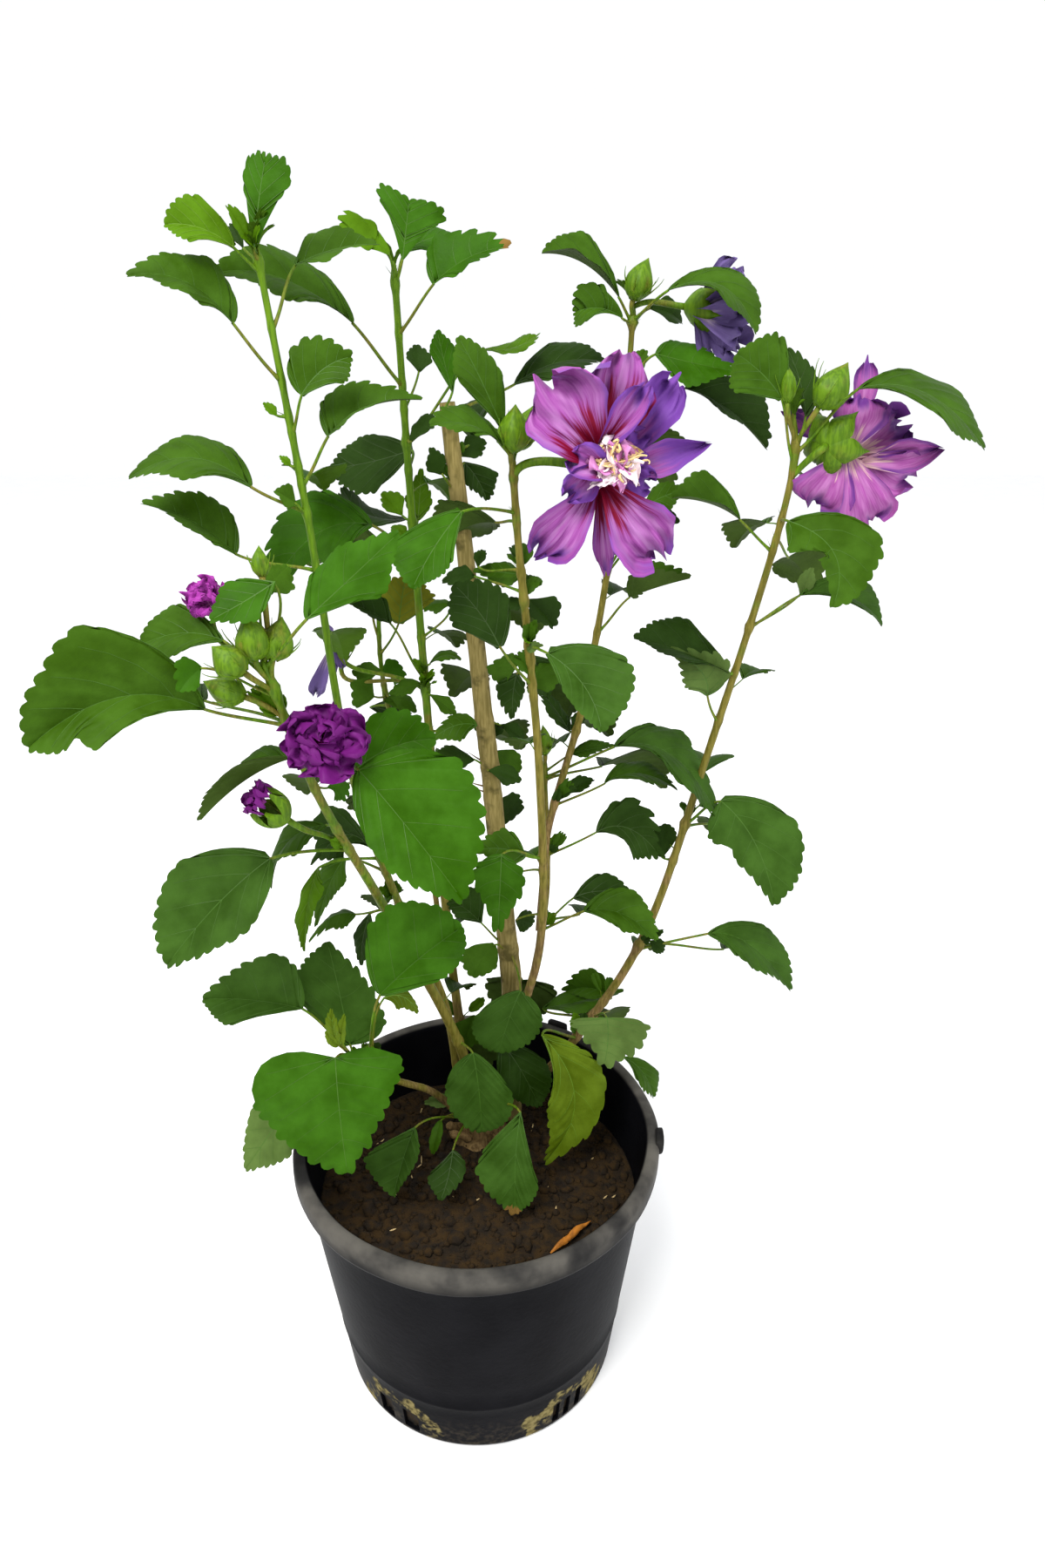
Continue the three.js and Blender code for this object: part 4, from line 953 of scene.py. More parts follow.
def flat_blade(base, tip, upper, leaf, rng):
    """A blade that arches evenly over its midrib and folds up a little from it."""
    length = np.linalg.norm(tip - base)
    axis = (tip - base) / length
    normal = unit(upper - axis * (upper @ axis))
    side = np.cross(axis, normal)
    middle = (base + tip) / 2 + normal * leaf.arch * length
    half = leaf.wide / 2 * length
    tilt = math.radians(leaf.fold)
    rise = normal * half * math.sin(tilt)
    out = side * half * math.cos(tilt)
    return BladeFrame(base, middle, tip, middle - out + rise, middle + out + rise, rng)


def placed_blade(base, tip, leaf, rng):
    """A blade whose midrib and widest points are seen at their pixels. What a half's width doesn't show
    across the frame, it has in depth."""
    middle = at_pixel(leaf.mid, (base[1] + tip[1]) / 2)
    half = leaf.wide / 2 * max(np.linalg.norm(tip - base), 0.9 * np.linalg.norm(middle - base) * 2)
    axis = unit(tip - base)
    level = np.cross(UP, axis)
    edges = []
    for pixel, hand in ((leaf.left, 1), (leaf.right, -1)):
        point = at_pixel(pixel, middle[1])
        t = np.clip((point - base) @ axis / np.linalg.norm(tip - base), 0.1, 0.9)
        depth = base[1] + (tip[1] - base[1]) * t
        spine = (1 - t) ** 2 * base + 2 * t * (1 - t) * (2 * middle - (base + tip) / 2) + t**2 * tip
        shown = np.linalg.norm(at_pixel(pixel, depth) - spine)
        hidden = math.sqrt(max(0.0, half**2 - shown**2))
        edges.append(at_pixel(pixel, depth + hand * hidden * 0.9 * level[1]))
    return BladeFrame(base, middle, tip, *edges, rng)


def add_leaf(batches, limb, leaf, rng):
    """A leaf of the table. Returns where its joint is and the direction of its stalk."""
    leaves, veins, stalks = batches
    share = limb.share_at_row(leaf.joint)
    joint = limb.point(share)
    base = at_pixel(leaf.base, joint[1] - leaf.near * MM)
    tip = at_pixel(leaf.tip, joint[1] - (leaf.near + leaf.lean) * MM)
    if leaf.mid:
        blade = placed_blade(base, tip, leaf, rng)
    else:
        blade = flat_blade(base, tip, upper_side(leaf.face, rng.uniform(-12, 12)), leaf, rng)
    add_blade(leaves, veins, blade, leaf, rng)
    radius = (0.66 + 0.005 * blade.length / MM) * MM
    age = 0.1 if leaf.tone == "young" else 0.22
    add_petiole(stalks, joint, base, blade.start(), radius, age, limb.radius(share))
    limb.joints.append(share)
    return share, joint, unit(base - joint)


def free_leaf(batches, joint, limb_radius, direction, upper, stalk, length, leaf, rng, droop=0.2):
    """A leaf that grows by rule: on a stalk in a direction, with a blade that droops from it."""
    leaves, veins, stalks = batches
    base = joint + direction * stalk
    tip = base + unit(direction - UP * (droop + rng.uniform(-0.3, 0.3))) * length
    blade = flat_blade(base, tip, upper, leaf, rng)
    add_blade(leaves, veins, blade, leaf, rng, coarse=length < COARSE_LENGTH)
    radius = max(0.45, 0.012 * length / MM) * MM
    add_petiole(stalks, joint, base, blade.start(), radius, 0.15, limb_radius)


def add_side_shoot(batches, limb, share, outward, rng):
    """Two to four small leaves in the angle between a limb and a leaf stalk."""
    joint = limb.point(share)
    for _ in range(rng.choice((2, 2, 3, 4))):
        sway = np.array([rng.uniform(-1, 1), rng.uniform(-1, 1), rng.uniform(0, 0.8)])
        direction = unit(outward * 0.7 + UP * 0.8 + sway * 0.55)
        length = rng.uniform(6, 14) * MM
        # The shaded tone among these is painted shade.
        tone = rng.choice(("young", "mature", "mature", "shaded")) if limb.age(share) > 0.3 else "young"
        form = rng.choice(("rhombic", "fan", "strap"))
        leaf = Leaf(*NO_JOINT, tone=tone, form=form, wide=rng.uniform(0.45, 0.8), fold=rng.uniform(8, 35))
        upper = upper_side(rng.uniform(20, 70))
        stalk = rng.uniform(3, 9) * MM
        free_leaf(batches, joint, limb.radius(share), direction, upper, stalk, length, leaf, rng)


def add_filler_leaves(batches, limb, count, rng):
    """Leaves that fill the crown towards its back and sides: out from the limb and drooping."""
    for k in range(count):
        share = 0.22 + 0.7 * (k + rng.uniform(0.2, 0.8)) / count
        turn = math.radians(rng.uniform(50, 130))
        direction = unit(np.array((math.cos(turn), math.sin(turn), rng.uniform(-0.15, 0.25))))
        # Some filler leaves take the shaded tone, which is painted shade.
        tone = "bright" if limb.age(share) < 0.15 else rng.choice(("mature", "mature", "shaded"))
        leaf = Leaf(*NO_JOINT, tone=tone, wide=rng.uniform(0.7, 0.9), fold=rng.uniform(8, 24),
                    form=rng.choice(("rhombic", "broad")))
        joint, upper = limb.point(share), unit(UP + direction * 0.5)
        stalk = rng.uniform(10, 18) * MM
        length = rng.uniform(27, 40) * MM
        free_leaf(batches, joint, limb.radius(share), direction, upper, stalk, length, leaf, rng, 0.55)


def add_tip_tuft(batches, limb, rng):
    """The unopened leaves at a limb's growing tip."""
    joint = limb.point(0.992)
    for k in range(TUFT_LEAVES):
        turn = TURN * (k + rng.random()) / TUFT_LEAVES
        direction = unit(np.array((0.5 * math.cos(turn), 0.5 * math.sin(turn), 1.0)))
        leaf = Leaf(*NO_JOINT, tone="young", form="fan", wide=rng.uniform(0.3, 0.5), fold=40)
        upper = unit(UP * 0.3 - direction * (1, 1, 0) * 2 + 1e-3)
        length = rng.uniform(8, 15) * MM
        free_leaf(batches, joint, limb.radius(1), direction, upper, 2 * MM, length, leaf, rng)


# ---- Buds and blooms ----


class Bud(NamedTuple):
    """A green bud: its limb, the row of its stalk's joint there, the pixels of its base and tip, how far its
    base is nearer than the limb, its width, and how far its tip is nearer than its base, in mm."""

    limb: str
    joint: float
    base: tuple
    tip: tuple
    near: float
    width: float
    lean: float


BUDS = [
    Bud("front_stem", 790, (301, 662), (297, 626), 0, 9, -4),
    Bud("front_stem", 790, (293, 757), (281, 704), 8, 17, 2),
    Bud("front_stem", 790, (313, 757), (324, 708), 4, 17, -2),
    Bud("front_stem", 800, (280, 772), (243, 742), 12, 18, 4),
    Bud("front_stem", 828, (281, 800), (233, 782), 6, 15, 2),
    Bud("second_leader", 790, (392, 762), (398, 720), -18, 10, -3),
    Bud("back_stem", 368, (727, 344), (745, 296), 4, 17, 2),
    Bud("right_stem", 512, (904, 462), (904, 418), 6, 9, 0),
    Bud("right_stem", 512, (940, 468), (974, 416), 8, 20, 2),
    Bud("middle_stem", 548, (587, 519), (592, 464), 5, 18, 2),
    Bud("middle_stem", 548, (592, 516), (612, 466), -6, 15, -3),
    Bud("bud_stem", 880, (626, 866), (623, 832), 3, 10, 0),
]
BUD_PROFILE = [(0, 0.22), (0.06, 0.55), (0.18, 0.86), (0.35, 1), (0.52, 0.91), (0.68, 0.68), (0.82, 0.4),
               (0.93, 0.15), (1, 0.02)]
POD_SIDES, POD_RINGS, POD_RIBS = 20, 16, 5
BRACTS, SEPALS = 7, 5
STALK_RINGS = 18
POD_AGE, BRACT_AGE, SEPAL_AGE = 0.08, 0.12, 0.06


def add_pod(batch, base, tip, width, rng):
    """A green pod of closed sepals: ribbed, fullest below its middle and drawn to a point."""
    shares = np.linspace(0, 1, POD_RINGS)
    radii = np.interp(shares, *zip(*BUD_PROFILE)) * width * 0.45
    turn = np.linspace(0, TURN, POD_SIDES, endpoint=False)
    seam = np.abs(np.cos(POD_RIBS / 2 * (turn[None] + 0.7 * shares[:, None])))
    rib = 0.82 + 0.23 * seam**0.6
    sway = unit(np.cross(tip - base, FRONT) + 1e-6) * 0.04 * np.linalg.norm(tip - base)
    bow = sway * np.sin(math.pi * shares)[:, None] * rng.uniform(-1, 1)
    path = base + (tip - base) * shares[:, None] + bow
    ages = (POD_AGE + 0.16 * (1 - seam) ** 3).ravel()
    add_tube(batch, path, radii[:, None] * rib, POD_SIDES, ages=ages)


def add_bracts(batch, base, direction, length, spread, rng):
    """The ring of narrow bracts below a bud or a calyx."""
    first, second = two_sides(direction)
    shares = np.linspace(0, 1, 8)[:, None]
    for k in range(BRACTS):
        turn = TURN * (k + rng.uniform(-0.2, 0.2)) / BRACTS
        out = first * math.cos(turn) + second * math.sin(turn)
        reach = length * rng.uniform(0.75, 1.1)
        path = base + out * spread * (0.25 + 0.95 * np.sin(shares * 1.7)) + direction * reach * shares
        path = path + out * reach * 0.22 * np.clip(shares - 0.6, 0, 1)
        add_tube(batch, path, (0.65 * (1 - 0.8 * shares[:, 0])) * MM, 5, ages=BRACT_AGE)


def add_stalk(batch, joint, start_way, base, end_way, radii, age):
    """A flower stalk from a joint to a bud's base, thicker under the bud."""
    length = np.linalg.norm(base - joint)
    leave, arrive = joint + start_way * length * 0.4, base - end_way * length * 0.4
    path = bezier(joint, leave, arrive, base, STALK_RINGS)
    add_tube(batch, path, np.linspace(*radii, STALK_RINGS) * MM, 10, ages=age)


def add_bud(greens, bud, rng):
    """A bud of the table, on its stalk."""
    limb = LIMBS[bud.limb]
    joint = limb.at_row(bud.joint)
    base = at_pixel(bud.base, joint[1] - bud.near * MM)
    tip = at_pixel(bud.tip, joint[1] - (bud.near + bud.lean) * MM)
    way = unit(tip - base)
    add_stalk(greens, joint, unit(unit(base - joint) + UP * 0.4), base, way, (1.0, 1.5), 0.3)
    add_pod(greens, base, tip, bud.width * MM, rng)
    add_bracts(greens, base, way, np.linalg.norm(tip - base) * 0.72, bud.width * MM * 0.5, rng)
    limb.joints.append(limb.share_at_row(bud.joint))


class Petal(NamedTuple):
    """A petal: the pixels of its foot and its end, how much nearer its foot is than the bloom's heart and its
    end is than its foot in mm, its width in mm and its own form."""

    foot: tuple
    end: tuple
    near: float
    lean: float
    width: float
    cup: float = 0.25  # rise of its sides as a share of width
    curl: float = 0.15  # fall of its end as a share of length
    arch: float = 0.12  # rise of its middle as a share of length
    roll: float = 0.0  # how far one side rolls in, from -1 to 1
    ruffle: float = 0.06  # height of its waves as a share of width
    # shade is the share of the rim's darker violet; its high values on folded and back petals are painted
    # shade.
    shade: float = 0.1  # how much of the rim's colour it has
    point: bool = False
    turn: float = 0.0  # twist from foot to end, degrees
    throat: float = 0.0  # how far the throat's colour is shifted to the end


FINE_PETAL = (26, 27)
COARSE_PETAL = (14, 13)
FINE_WIDTH = 13 * MM
PETAL_HALF_THICKNESS, SEPAL_HALF_THICKNESS = 0.18 * MM, 0.35 * MM
# Outlines of petals: (share of the length, share of the width).
ROUND_PETAL = [(0, 0.14), (0.15, 0.24), (0.4, 0.62), (0.6, 0.92), (0.76, 1.0), (0.88, 0.9), (0.96, 0.7),
               (1, 0.4)]
SEPAL = [(0, 0.62), (0.2, 0.92), (0.42, 1.0), (0.66, 0.68), (0.86, 0.26), (1, 0.02)]
POINTED_PETAL = [(0, 0.2), (0.2, 0.5), (0.45, 0.95), (0.62, 0.95), (0.8, 0.6), (0.93, 0.25), (1, 0.04)]


def add_petal(batch, foot, end, width, upper, petal, rng, slot=0, sepal=False):
    """A petal of two skins, bent along its length, cupped across it, and curled and ruffled at its rim. A
    sepal is thicker, has an even margin and takes the bark's colour for its age."""

    def wave(phase):
        return np.sin(phase + rng.uniform(0, 6))

    length = np.linalg.norm(end - foot)
    axis = (end - foot) / length
    upper = unit(upper - axis * (upper @ axis))
    middle = (foot + end) / 2 + upper * 2 * petal.arch * length
    rows, columns = FINE_PETAL if width > FINE_WIDTH else COARSE_PETAL
    u = np.linspace(0, 1, rows)[:, None] * np.ones(columns)
    v = np.ones(rows)[:, None] * np.linspace(-1, 1, columns)
    outline = SEPAL if sepal else POINTED_PETAL if petal.point else ROUND_PETAL
    half = np.interp(u, *zip(*outline)) * width / 2
    frill = 0.04 * wave(v * 6.5) + 0.012 * wave(v * 15)
    scallop = 0.06 * wave(u * 11 + v) + 0.02 * wave(u * 25 - v)
    if not sepal:
        half = half * (1 + scallop * u)
    t = u if petal.point else u * (1 - 0.14 * v**2 + frill * u)
    spine, _, side, normal = bent_frame(foot, middle, end, upper, t)
    angle = math.radians(petal.turn) * (t - 0.2)[..., None]
    cosine, sine = np.cos(angle), np.sin(angle)
    side, normal = side * cosine + normal * sine, normal * cosine - side * sine
    ripple = wave(v * 5.2 + u * 4) + 0.6 * wave(v * 11.3 - u * 5)
    crinkle = 0.3 * wave(v * 15 + u * 7) * wave(u * 11)
    crinkle = crinkle + 0.22 * wave(v * 27 - u * 6) * wave(u * 6 + v * 5)
    near_rim = 0.25 + 0.75 * np.maximum(np.abs(v), u**3)
    over = np.clip(np.sign(petal.roll) * v, 0, 1)
    rolled = abs(petal.roll) * smooth_step(over, 0.45, 1.0) * smooth_step(u, 0.2, 0.6)
    across = v * half * (1 - 0.45 * rolled * over)
    rise = petal.cup * width * np.abs(v) ** 1.8 * (0.5 + 0.5 * u) + rolled * width * 0.22
    rise = rise + petal.ruffle * width * (ripple * u**2 * near_rim + crinkle * u)
    rise = rise - petal.curl * length * smooth_step(u, 0.62, 1.0) ** 1.5
    if sepal:
        values = (SEPAL_AGE, 0, 0)
    else:
        values = np.stack([u - petal.throat, v, np.full_like(u, petal.shade)], axis=-1).reshape(-1, 3)
    skin = (SEPAL_HALF_THICKNESS if sepal else PETAL_HALF_THICKNESS) * (1 - v**4) * (1 - u**6)
    faces = grid_faces(rows, columns)
    for hand in (1, -1):
        points = spine + side * across[..., None] + normal * (rise + hand * skin)[..., None]
        turned = [tuple(reversed(f)) for f in faces] if hand > 0 else faces
        batch.add(points.reshape(-1, 3), turned, slot, values)


def place_petals(batch, petals, heart_y, rng, toward=FRONT, slot=0):
    """Petals by their pixels, with their inner sides towards a direction."""
    for petal in petals:
        foot = at_pixel(petal.foot, heart_y - petal.near * MM)
        end = at_pixel(petal.end, heart_y - (petal.near + petal.lean) * MM)
        add_petal(batch, foot, end, petal.width * MM, toward, petal, rng, slot)


FRONT_BLOOM = [
    Petal((704, 530), (778, 432), -7, -2, 25, cup=0.4, curl=0.05, roll=0.4, shade=-0.1, ruffle=0.12,
          throat=-0.6),
    Petal((692, 530), (720, 402), -4, 2, 35, cup=0.2, curl=0.06, arch=0.06, roll=0.1, shade=0.42,
          ruffle=0.17, throat=0.28),
    Petal((692, 530), (618, 430), 2, 2, 42, cup=0.24, curl=0.2, arch=0.16, roll=-0.25, shade=0.0,
          ruffle=0.17, throat=0.08),
    Petal((710, 540), (805, 508), 0, 2, 17, cup=0.4, curl=-0.1, arch=0.1, shade=0.25, point=True,
          ruffle=0.05, throat=-0.4),
    Petal((684, 552), (612, 642), 0, 6, 25, cup=0.4, curl=0.12, arch=0.18, shade=0.1, ruffle=0.14,
          throat=-0.1),
    Petal((686, 556), (696, 661), -2, 2, 11, cup=0.5, curl=0.02, arch=0.06, shade=0.3, ruffle=0.1,
          throat=0.1),
    Petal((692, 552), (764, 644), 3, 4, 33, cup=0.34, curl=0.14, arch=0.14, shade=0.15, ruffle=0.2,
          throat=0.02),
    Petal((686, 516), (745, 438), 5, 5, 17, cup=0.5, curl=0.1, arch=0.2, roll=0.7, shade=0.62, ruffle=0.14,
          throat=0.02),
    Petal((694, 536), (650, 522), 8, 5, 20, cup=0.5, curl=0.3, arch=0.3, roll=-0.9, shade=0.75, ruffle=0.12,
          throat=0.05),
    Petal((690, 530), (648, 572), 9, 3, 17, cup=0.5, curl=0.1, arch=0.14, shade=0.8, ruffle=0.12,
          throat=0.0),
    Petal((700, 526), (744, 496), -2, 6, 20, cup=0.4, curl=0.3, arch=0.2, shade=-0.1, ruffle=0.2,
          throat=-0.6),
    Petal((704, 536), (752, 560), 0, 4, 18, cup=0.4, curl=0.3, arch=0.2, shade=-0.1, ruffle=0.2,
          throat=-0.6),
]
RIGHT_BLOOM = [
    Petal((985, 505), (996, 410), -20, -4, 13, cup=0.3, curl=0, arch=0.05, shade=0.35, ruffle=0.05,
          throat=-0.05),
    Petal((980, 515), (899, 470), -8, -6, 14, cup=0.3, curl=0, arch=-0.1, shade=0.5, throat=-0.05),
    Petal((982, 520), (1040, 486), -16, -8, 32, cup=0.3, curl=0.1, arch=0.1, shade=0.95, ruffle=0.13,
          throat=0.0, roll=0.8),
    Petal((978, 515), (990, 453), -12, -6, 32, cup=0.2, curl=0.1, arch=0.14, shade=0.5, ruffle=0.07,
          throat=0.0),
    Petal((990, 530), (1078, 514), -12, 2, 19, cup=0.35, curl=0.0, arch=0.05, shade=0.4, point=True,
          throat=0.0),
    Petal((985, 522), (1050, 550), -14, -2, 28, cup=0.25, curl=0.1, arch=0.1, shade=0.3, ruffle=0.08,
          throat=0.0),
    Petal((968, 520), (932, 584), -4, -4, 36, cup=0.2, curl=0.12, arch=0.14, shade=0.35, ruffle=0.07,
          throat=0.0),
    Petal((975, 522), (1002, 606), -4, -2, 30, cup=0.22, curl=0.12, arch=0.16, shade=0.0, ruffle=0.06,
          throat=-0.05),
]
SPENT_BLOOM = [
    Petal((800, 352), (850, 299), -10, 0, 20, cup=0.5, curl=0.2, arch=0.2, shade=0.7, ruffle=0.13,
          throat=-0.6),
    Petal((800, 356), (862, 344), -2, 0, 24, cup=0.4, curl=0.2, arch=0.25, shade=0.4, ruffle=0.16,
          throat=-0.6),
    Petal((802, 360), (858, 372), 3, 0, 24, cup=0.4, curl=0.25, arch=0.25, shade=0.6, ruffle=0.16,
          throat=-0.6),
    Petal((798, 362), (826, 412), -4, 0, 20, cup=0.5, curl=0.2, arch=0.2, shade=0.8, ruffle=0.14,
          throat=-0.6),
    Petal((802, 362), (852, 406), -8, 0, 22, cup=0.45, curl=0.2, arch=0.2, shade=0.9, ruffle=0.15,
          throat=-0.6),
]


WITHERED_BLOOM = [
    Petal((382, 738), (361, 803), 0, -2, 10, cup=0.5, curl=0.1, shade=0.1, ruffle=0.2, throat=-0.7),
    Petal((384, 736), (392, 768), -3, 0, 10, cup=0.5, curl=0.1, shade=0.9, ruffle=0.2, throat=-0.7),
    Petal((384, 738), (372, 716), -2, 0, 9, cup=0.5, curl=0.1, shade=0.9, ruffle=0.2, throat=-0.7),
]
SPENT_SLOT, MAGENTA_SLOT = 1, 2  # of the materials of the small blooms
NO_PLACE = ((0, 0), (0, 0), 0, 0, 0)  # for a petal that grows by rule, not by its pixels
SEPAL_FORM = Petal(*NO_PLACE, cup=0.25, curl=0.0, arch=-0.22, ruffle=0.015, point=True)
STRIP_RINGS = 14


def add_pompom(batch, centre, radius, toward, rng, rings, slot=0, flat=1.0):
    """A closed double bloom: rings of short ruffled petals round a heart. flat is its height to its width."""
    first = unit(np.cross(toward, UP))
    second = np.cross(first, toward) * flat
    for count, reach in rings:
        for k in range(count):
            turn = TURN * (k + rng.uniform(-0.3, 0.3)) / count
            out = first * math.cos(turn) + second * math.sin(turn)
            foot = centre - toward * radius * 0.35 + out * radius * reach * 0.25
            rise = toward * radius * (0.72 - 0.72 * reach)
            end = centre + out * radius * reach * rng.uniform(0.8, 1.1) + rise
            petal = Petal(*NO_PLACE, cup=0.3, curl=rng.uniform(0.1, 0.35), arch=0.22, ruffle=0.2,
                          shade=rng.uniform(-0.2, 0.6), throat=-0.7, turn=rng.uniform(-45, 45))
            width = radius * rng.uniform(0.9, 1.3) * (0.6 + 0.5 * reach)
            add_petal(batch, foot, end, width, unit(toward + out * 0.2), petal, rng, slot)


def add_petaloids(batch, centre, rng, count, slots):
    """The small ruffled petals that fill the heart of the open bloom."""
    for k in range(count):
        turn = TURN * k / count + rng.uniform(-0.3, 0.3)
        reach = rng.uniform(9, 17) * MM
        out = unit(np.array((math.cos(turn) + 0.2, -rng.uniform(0.3, 1.1), math.sin(turn) * 0.9)))
        petal = Petal(*NO_PLACE, cup=0.4, curl=0.3, arch=rng.uniform(-0.2, 0.3), ruffle=0.2,
                      turn=rng.uniform(-60, 60))
        upper = unit(FRONT + np.array((rng.uniform(-1, 1), 0, rng.uniform(-1, 1))))
        width = rng.uniform(7, 12) * MM
        foot, end = centre - out * 2 * MM, centre + out * reach
        add_petal(batch, foot, end, width, upper, petal, rng, slots[k % len(slots)])


def add_strips(batch, centre, rng, count, slots):
    """The heart of the open bloom: thin curled strips and threads, cream, white and pink."""
    shares = np.linspace(0, 1, STRIP_RINGS)
    for k in range(count):
        turn = rng.uniform(0, TURN)
        reach = rng.uniform(4, 13) * MM
        out = np.array((math.cos(turn) + 0.25, -rng.uniform(0.1, 0.7), math.sin(turn) * 0.8))
        start = centre + drawn_sway(rng) * 3 * MM
        bend = drawn_sway(rng)
        end = centre + out * reach
        leave, arrive = centre + out * reach * 0.4 + bend * 6 * MM, end - bend * 7 * MM
        width = rng.uniform(0.35, 1.25) * MM
        radii = (width * (0.6 + 0.5 * np.sin(shares * 3)))[:, None] * np.array((1, 0.35) * 3)
        add_tube(batch, bezier(start, leave, arrive, end, STRIP_RINGS), radii, 6, slots[k % len(slots)])


def add_calyx(batch, base, direction, length, width, rng, spread):
    """Open green sepals: pointed blades that leave a cup."""
    first, second = two_sides(direction)
    for k in range(SEPALS):
        turn = TURN * (k + 0.2) / SEPALS
        out = first * math.cos(turn) + second * math.sin(turn)
        foot = base + out * 1.5 * MM
        end = base + out * length * spread + direction * length * rng.uniform(0.75, 1.0)
        add_petal(batch, foot, end, width, direction - out * 0.2, SEPAL_FORM, rng, sepal=True)


# ---- Pot and soil ----

# The pot's heights, radii and wall thickness in mm.
POT = {"height": 185, "rim": 119.5, "lip_foot": 169, "wall": 2.5, "wall_at_lip": 113, "base": 94, "floor": 3}
SLOT_FOOT, SLOT_TOP = 4, 23
RIB_HEIGHT = 43.2
COLUMN_TURN = 0.75  # degrees to a column of the pot's mesh
POT_COLUMNS = 480
# Slots through the foot of the wall: (heading of the middle, slots, width, pitch), in degrees from +X to +Y.
SLOT_GROUPS = [(-123, 2, 6.75, 12), (-51.5, 3, 3, 5.5), (20, 3, 3, 5.5), (92, 3, 3, 5.5), (164, 3, 3, 5.5)]
LUG_HEADINGS = (-5, 62)
# Levels of a lug: (height over the rim's top in mm, spread).
LUG_LEVELS = [(-9, 0.55), (-8.2, 0.9), (-5, 1), (0, 1), (1.2, 0.9), (1.9, 0.55)]
LUG_SIDES = 16
# The lugs' share of the rim's lighter grey, partly real wear and partly a painted highlight.
LUG_WEAR_AND_HIGHLIGHT = 0.35


def wall_radius(z):
    """The outside radius of the tapered wall in mm."""
    share = z / POT["lip_foot"]
    return POT["base"] + (POT["wall_at_lip"] - POT["base"]) * share


def slot_columns():
    """The columns of the pot's mesh that slots cut."""
    columns = set()
    for heading, count, width, pitch in SLOT_GROUPS:
        for k in range(count):
            middle = heading + (k - (count - 1) / 2) * pitch
            first = round((middle - width / 2) / COLUMN_TURN)
            columns.update((first + j) % POT_COLUMNS for j in range(round(width / COLUMN_TURN)))
    return columns


def pot_profile():
    """(radius, z) in mm from the middle of the underside, out, up, over the rim and down to the floor."""
    heights = [SLOT_FOOT, 6, 8.5, 11, 13.5, 16, 18.5, 21, SLOT_TOP, 26, 30, 35, 42, RIB_HEIGHT, 44.4,
               60, 90, 120, 150, 166]
    outside = [(wall_radius(z) + (0.35 if z == RIB_HEIGHT else 0), z) for z in heights]
    foot = [(0, 0), (60, 0), (91.6, 0), (93.2, 0.5), (94.2, 1.9)]
    rim = [(113.2, 168.4), (114.6, 169.2), (117.6, 169.2), (119.0, 170.2), (119.5, 172.2), (119.5, 178),
           (119.3, 181.4), (118.3, 183.7), (116.3, 184.9), (114, 185), (112.2, 184.6), (110.9, 183.2),
           (110.5, 180.5)]
    inside = [(wall_radius(z) - POT["wall"], z) for z in (169, 160, 148, 137, 120, SLOT_TOP, SLOT_FOOT)]
    return foot + outside + rim + inside + [(60, POT["floor"]), (0, POT["floor"])]


def make_pot(material, rng):
    """The pot's skin with its slots, and its lugs."""
    batch = Batch(material)
    profile = pot_profile()
    rows, columns = len(profile), POT_COLUMNS
    cut = slot_columns()
    turn = np.radians(np.arange(columns) * COLUMN_TURN)
    waves = [(n, rng.uniform(0, 6.28), rng.uniform(0.05, 0.22)) for n in (2, 3, 5, 7, 11)]
    points, values = [], []
    for radius, z in profile:
        wobble = sum(size * np.sin(n * turn + phase) for n, phase, size in waves) * (z > 30) * (radius > 80)
        r = (radius + wobble * z / POT["height"]) * MM
        points.append(np.stack([r * np.cos(turn), r * np.sin(turn), np.full(columns, z * MM)], axis=1))
        values.append(stain_values(turn, z, radius))
    faces = []
    for k, face in enumerate(grid_faces(rows, columns, closed=True)):
        i, j = divmod(k, columns)
        walls = all(radius > 60 and SLOT_FOOT <= z <= SLOT_TOP for radius, z in profile[i : i + 2])
        if not (walls and j in cut):
            faces.append(face)
    batch.add(np.vstack(points), faces, 0, np.vstack(values))
    add_slot_edges(batch, cut, columns)
    for heading in LUG_HEADINGS:
        add_lug(batch, heading, rng)
    return batch


def stain_values(turn, z, radius):
    """x is the dried stain, y the rim's lighter grey, partly real wear and partly a painted highlight on its
    top, and z the dirt low down, from 0 to 1.
    """
    stain = np.zeros_like(turn)
    if radius > 90 and 0 <= z < 60:
        for heading, _, _, _ in SLOT_GROUPS:
            away = (turn - math.radians(heading) + math.pi) % TURN - math.pi
            arc = np.hypot(away / math.radians(21), (z - 6) / 32)
            arc = arc + 0.08 * np.sin(19 * turn + z / 7) + 0.05 * np.sin(43 * turn - z / 4)
            stain = np.maximum(stain, np.exp(-(((arc - 0.8) / 0.16) ** 2)) + 0.35 * (arc < 0.7))
    # The whole lip is lighter grey: partly real wear, partly a painted highlight on the rim's top.
    wear_and_highlight = np.full_like(turn, float(smooth_step(z, 167, 181) * (radius > 111)))
    low = np.full_like(turn, float(1 - smooth_step(z, 2, 34)) if radius > 90 else 0.0)
    return np.stack([stain, wear_and_highlight, low], axis=1)


def add_slot_edges(batch, cut, columns):
    """The faces through the wall round each slot."""

    def corner(j, z, thickness):
        r = (wall_radius(z) - thickness) * MM
        a = math.radians(j * COLUMN_TURN)
        return (r * math.cos(a), r * math.sin(a), z * MM)

    def add_edge(first, second):
        """The face from one edge of the outside, between two (column, height) places, to the inside."""
        inner = [corner(*place, POT["wall"]) for place in (second, first)]
        batch.add([corner(*first, 0), corner(*second, 0), *inner], [(0, 1, 2, 3)])

    for j in sorted(cut):
        k = j + 1
        for z in (SLOT_FOOT, SLOT_TOP):
            add_edge((j, z), (k, z))
        for edge, other in ((j, (j - 1) % columns), (k, k % columns)):
            if other not in cut:
                add_edge((edge, SLOT_FOOT), (edge, SLOT_TOP))


def squared(c):
    """A cosine or sine for a rounded square instead of a circle."""
    return math.copysign(abs(c) ** 0.45, c)


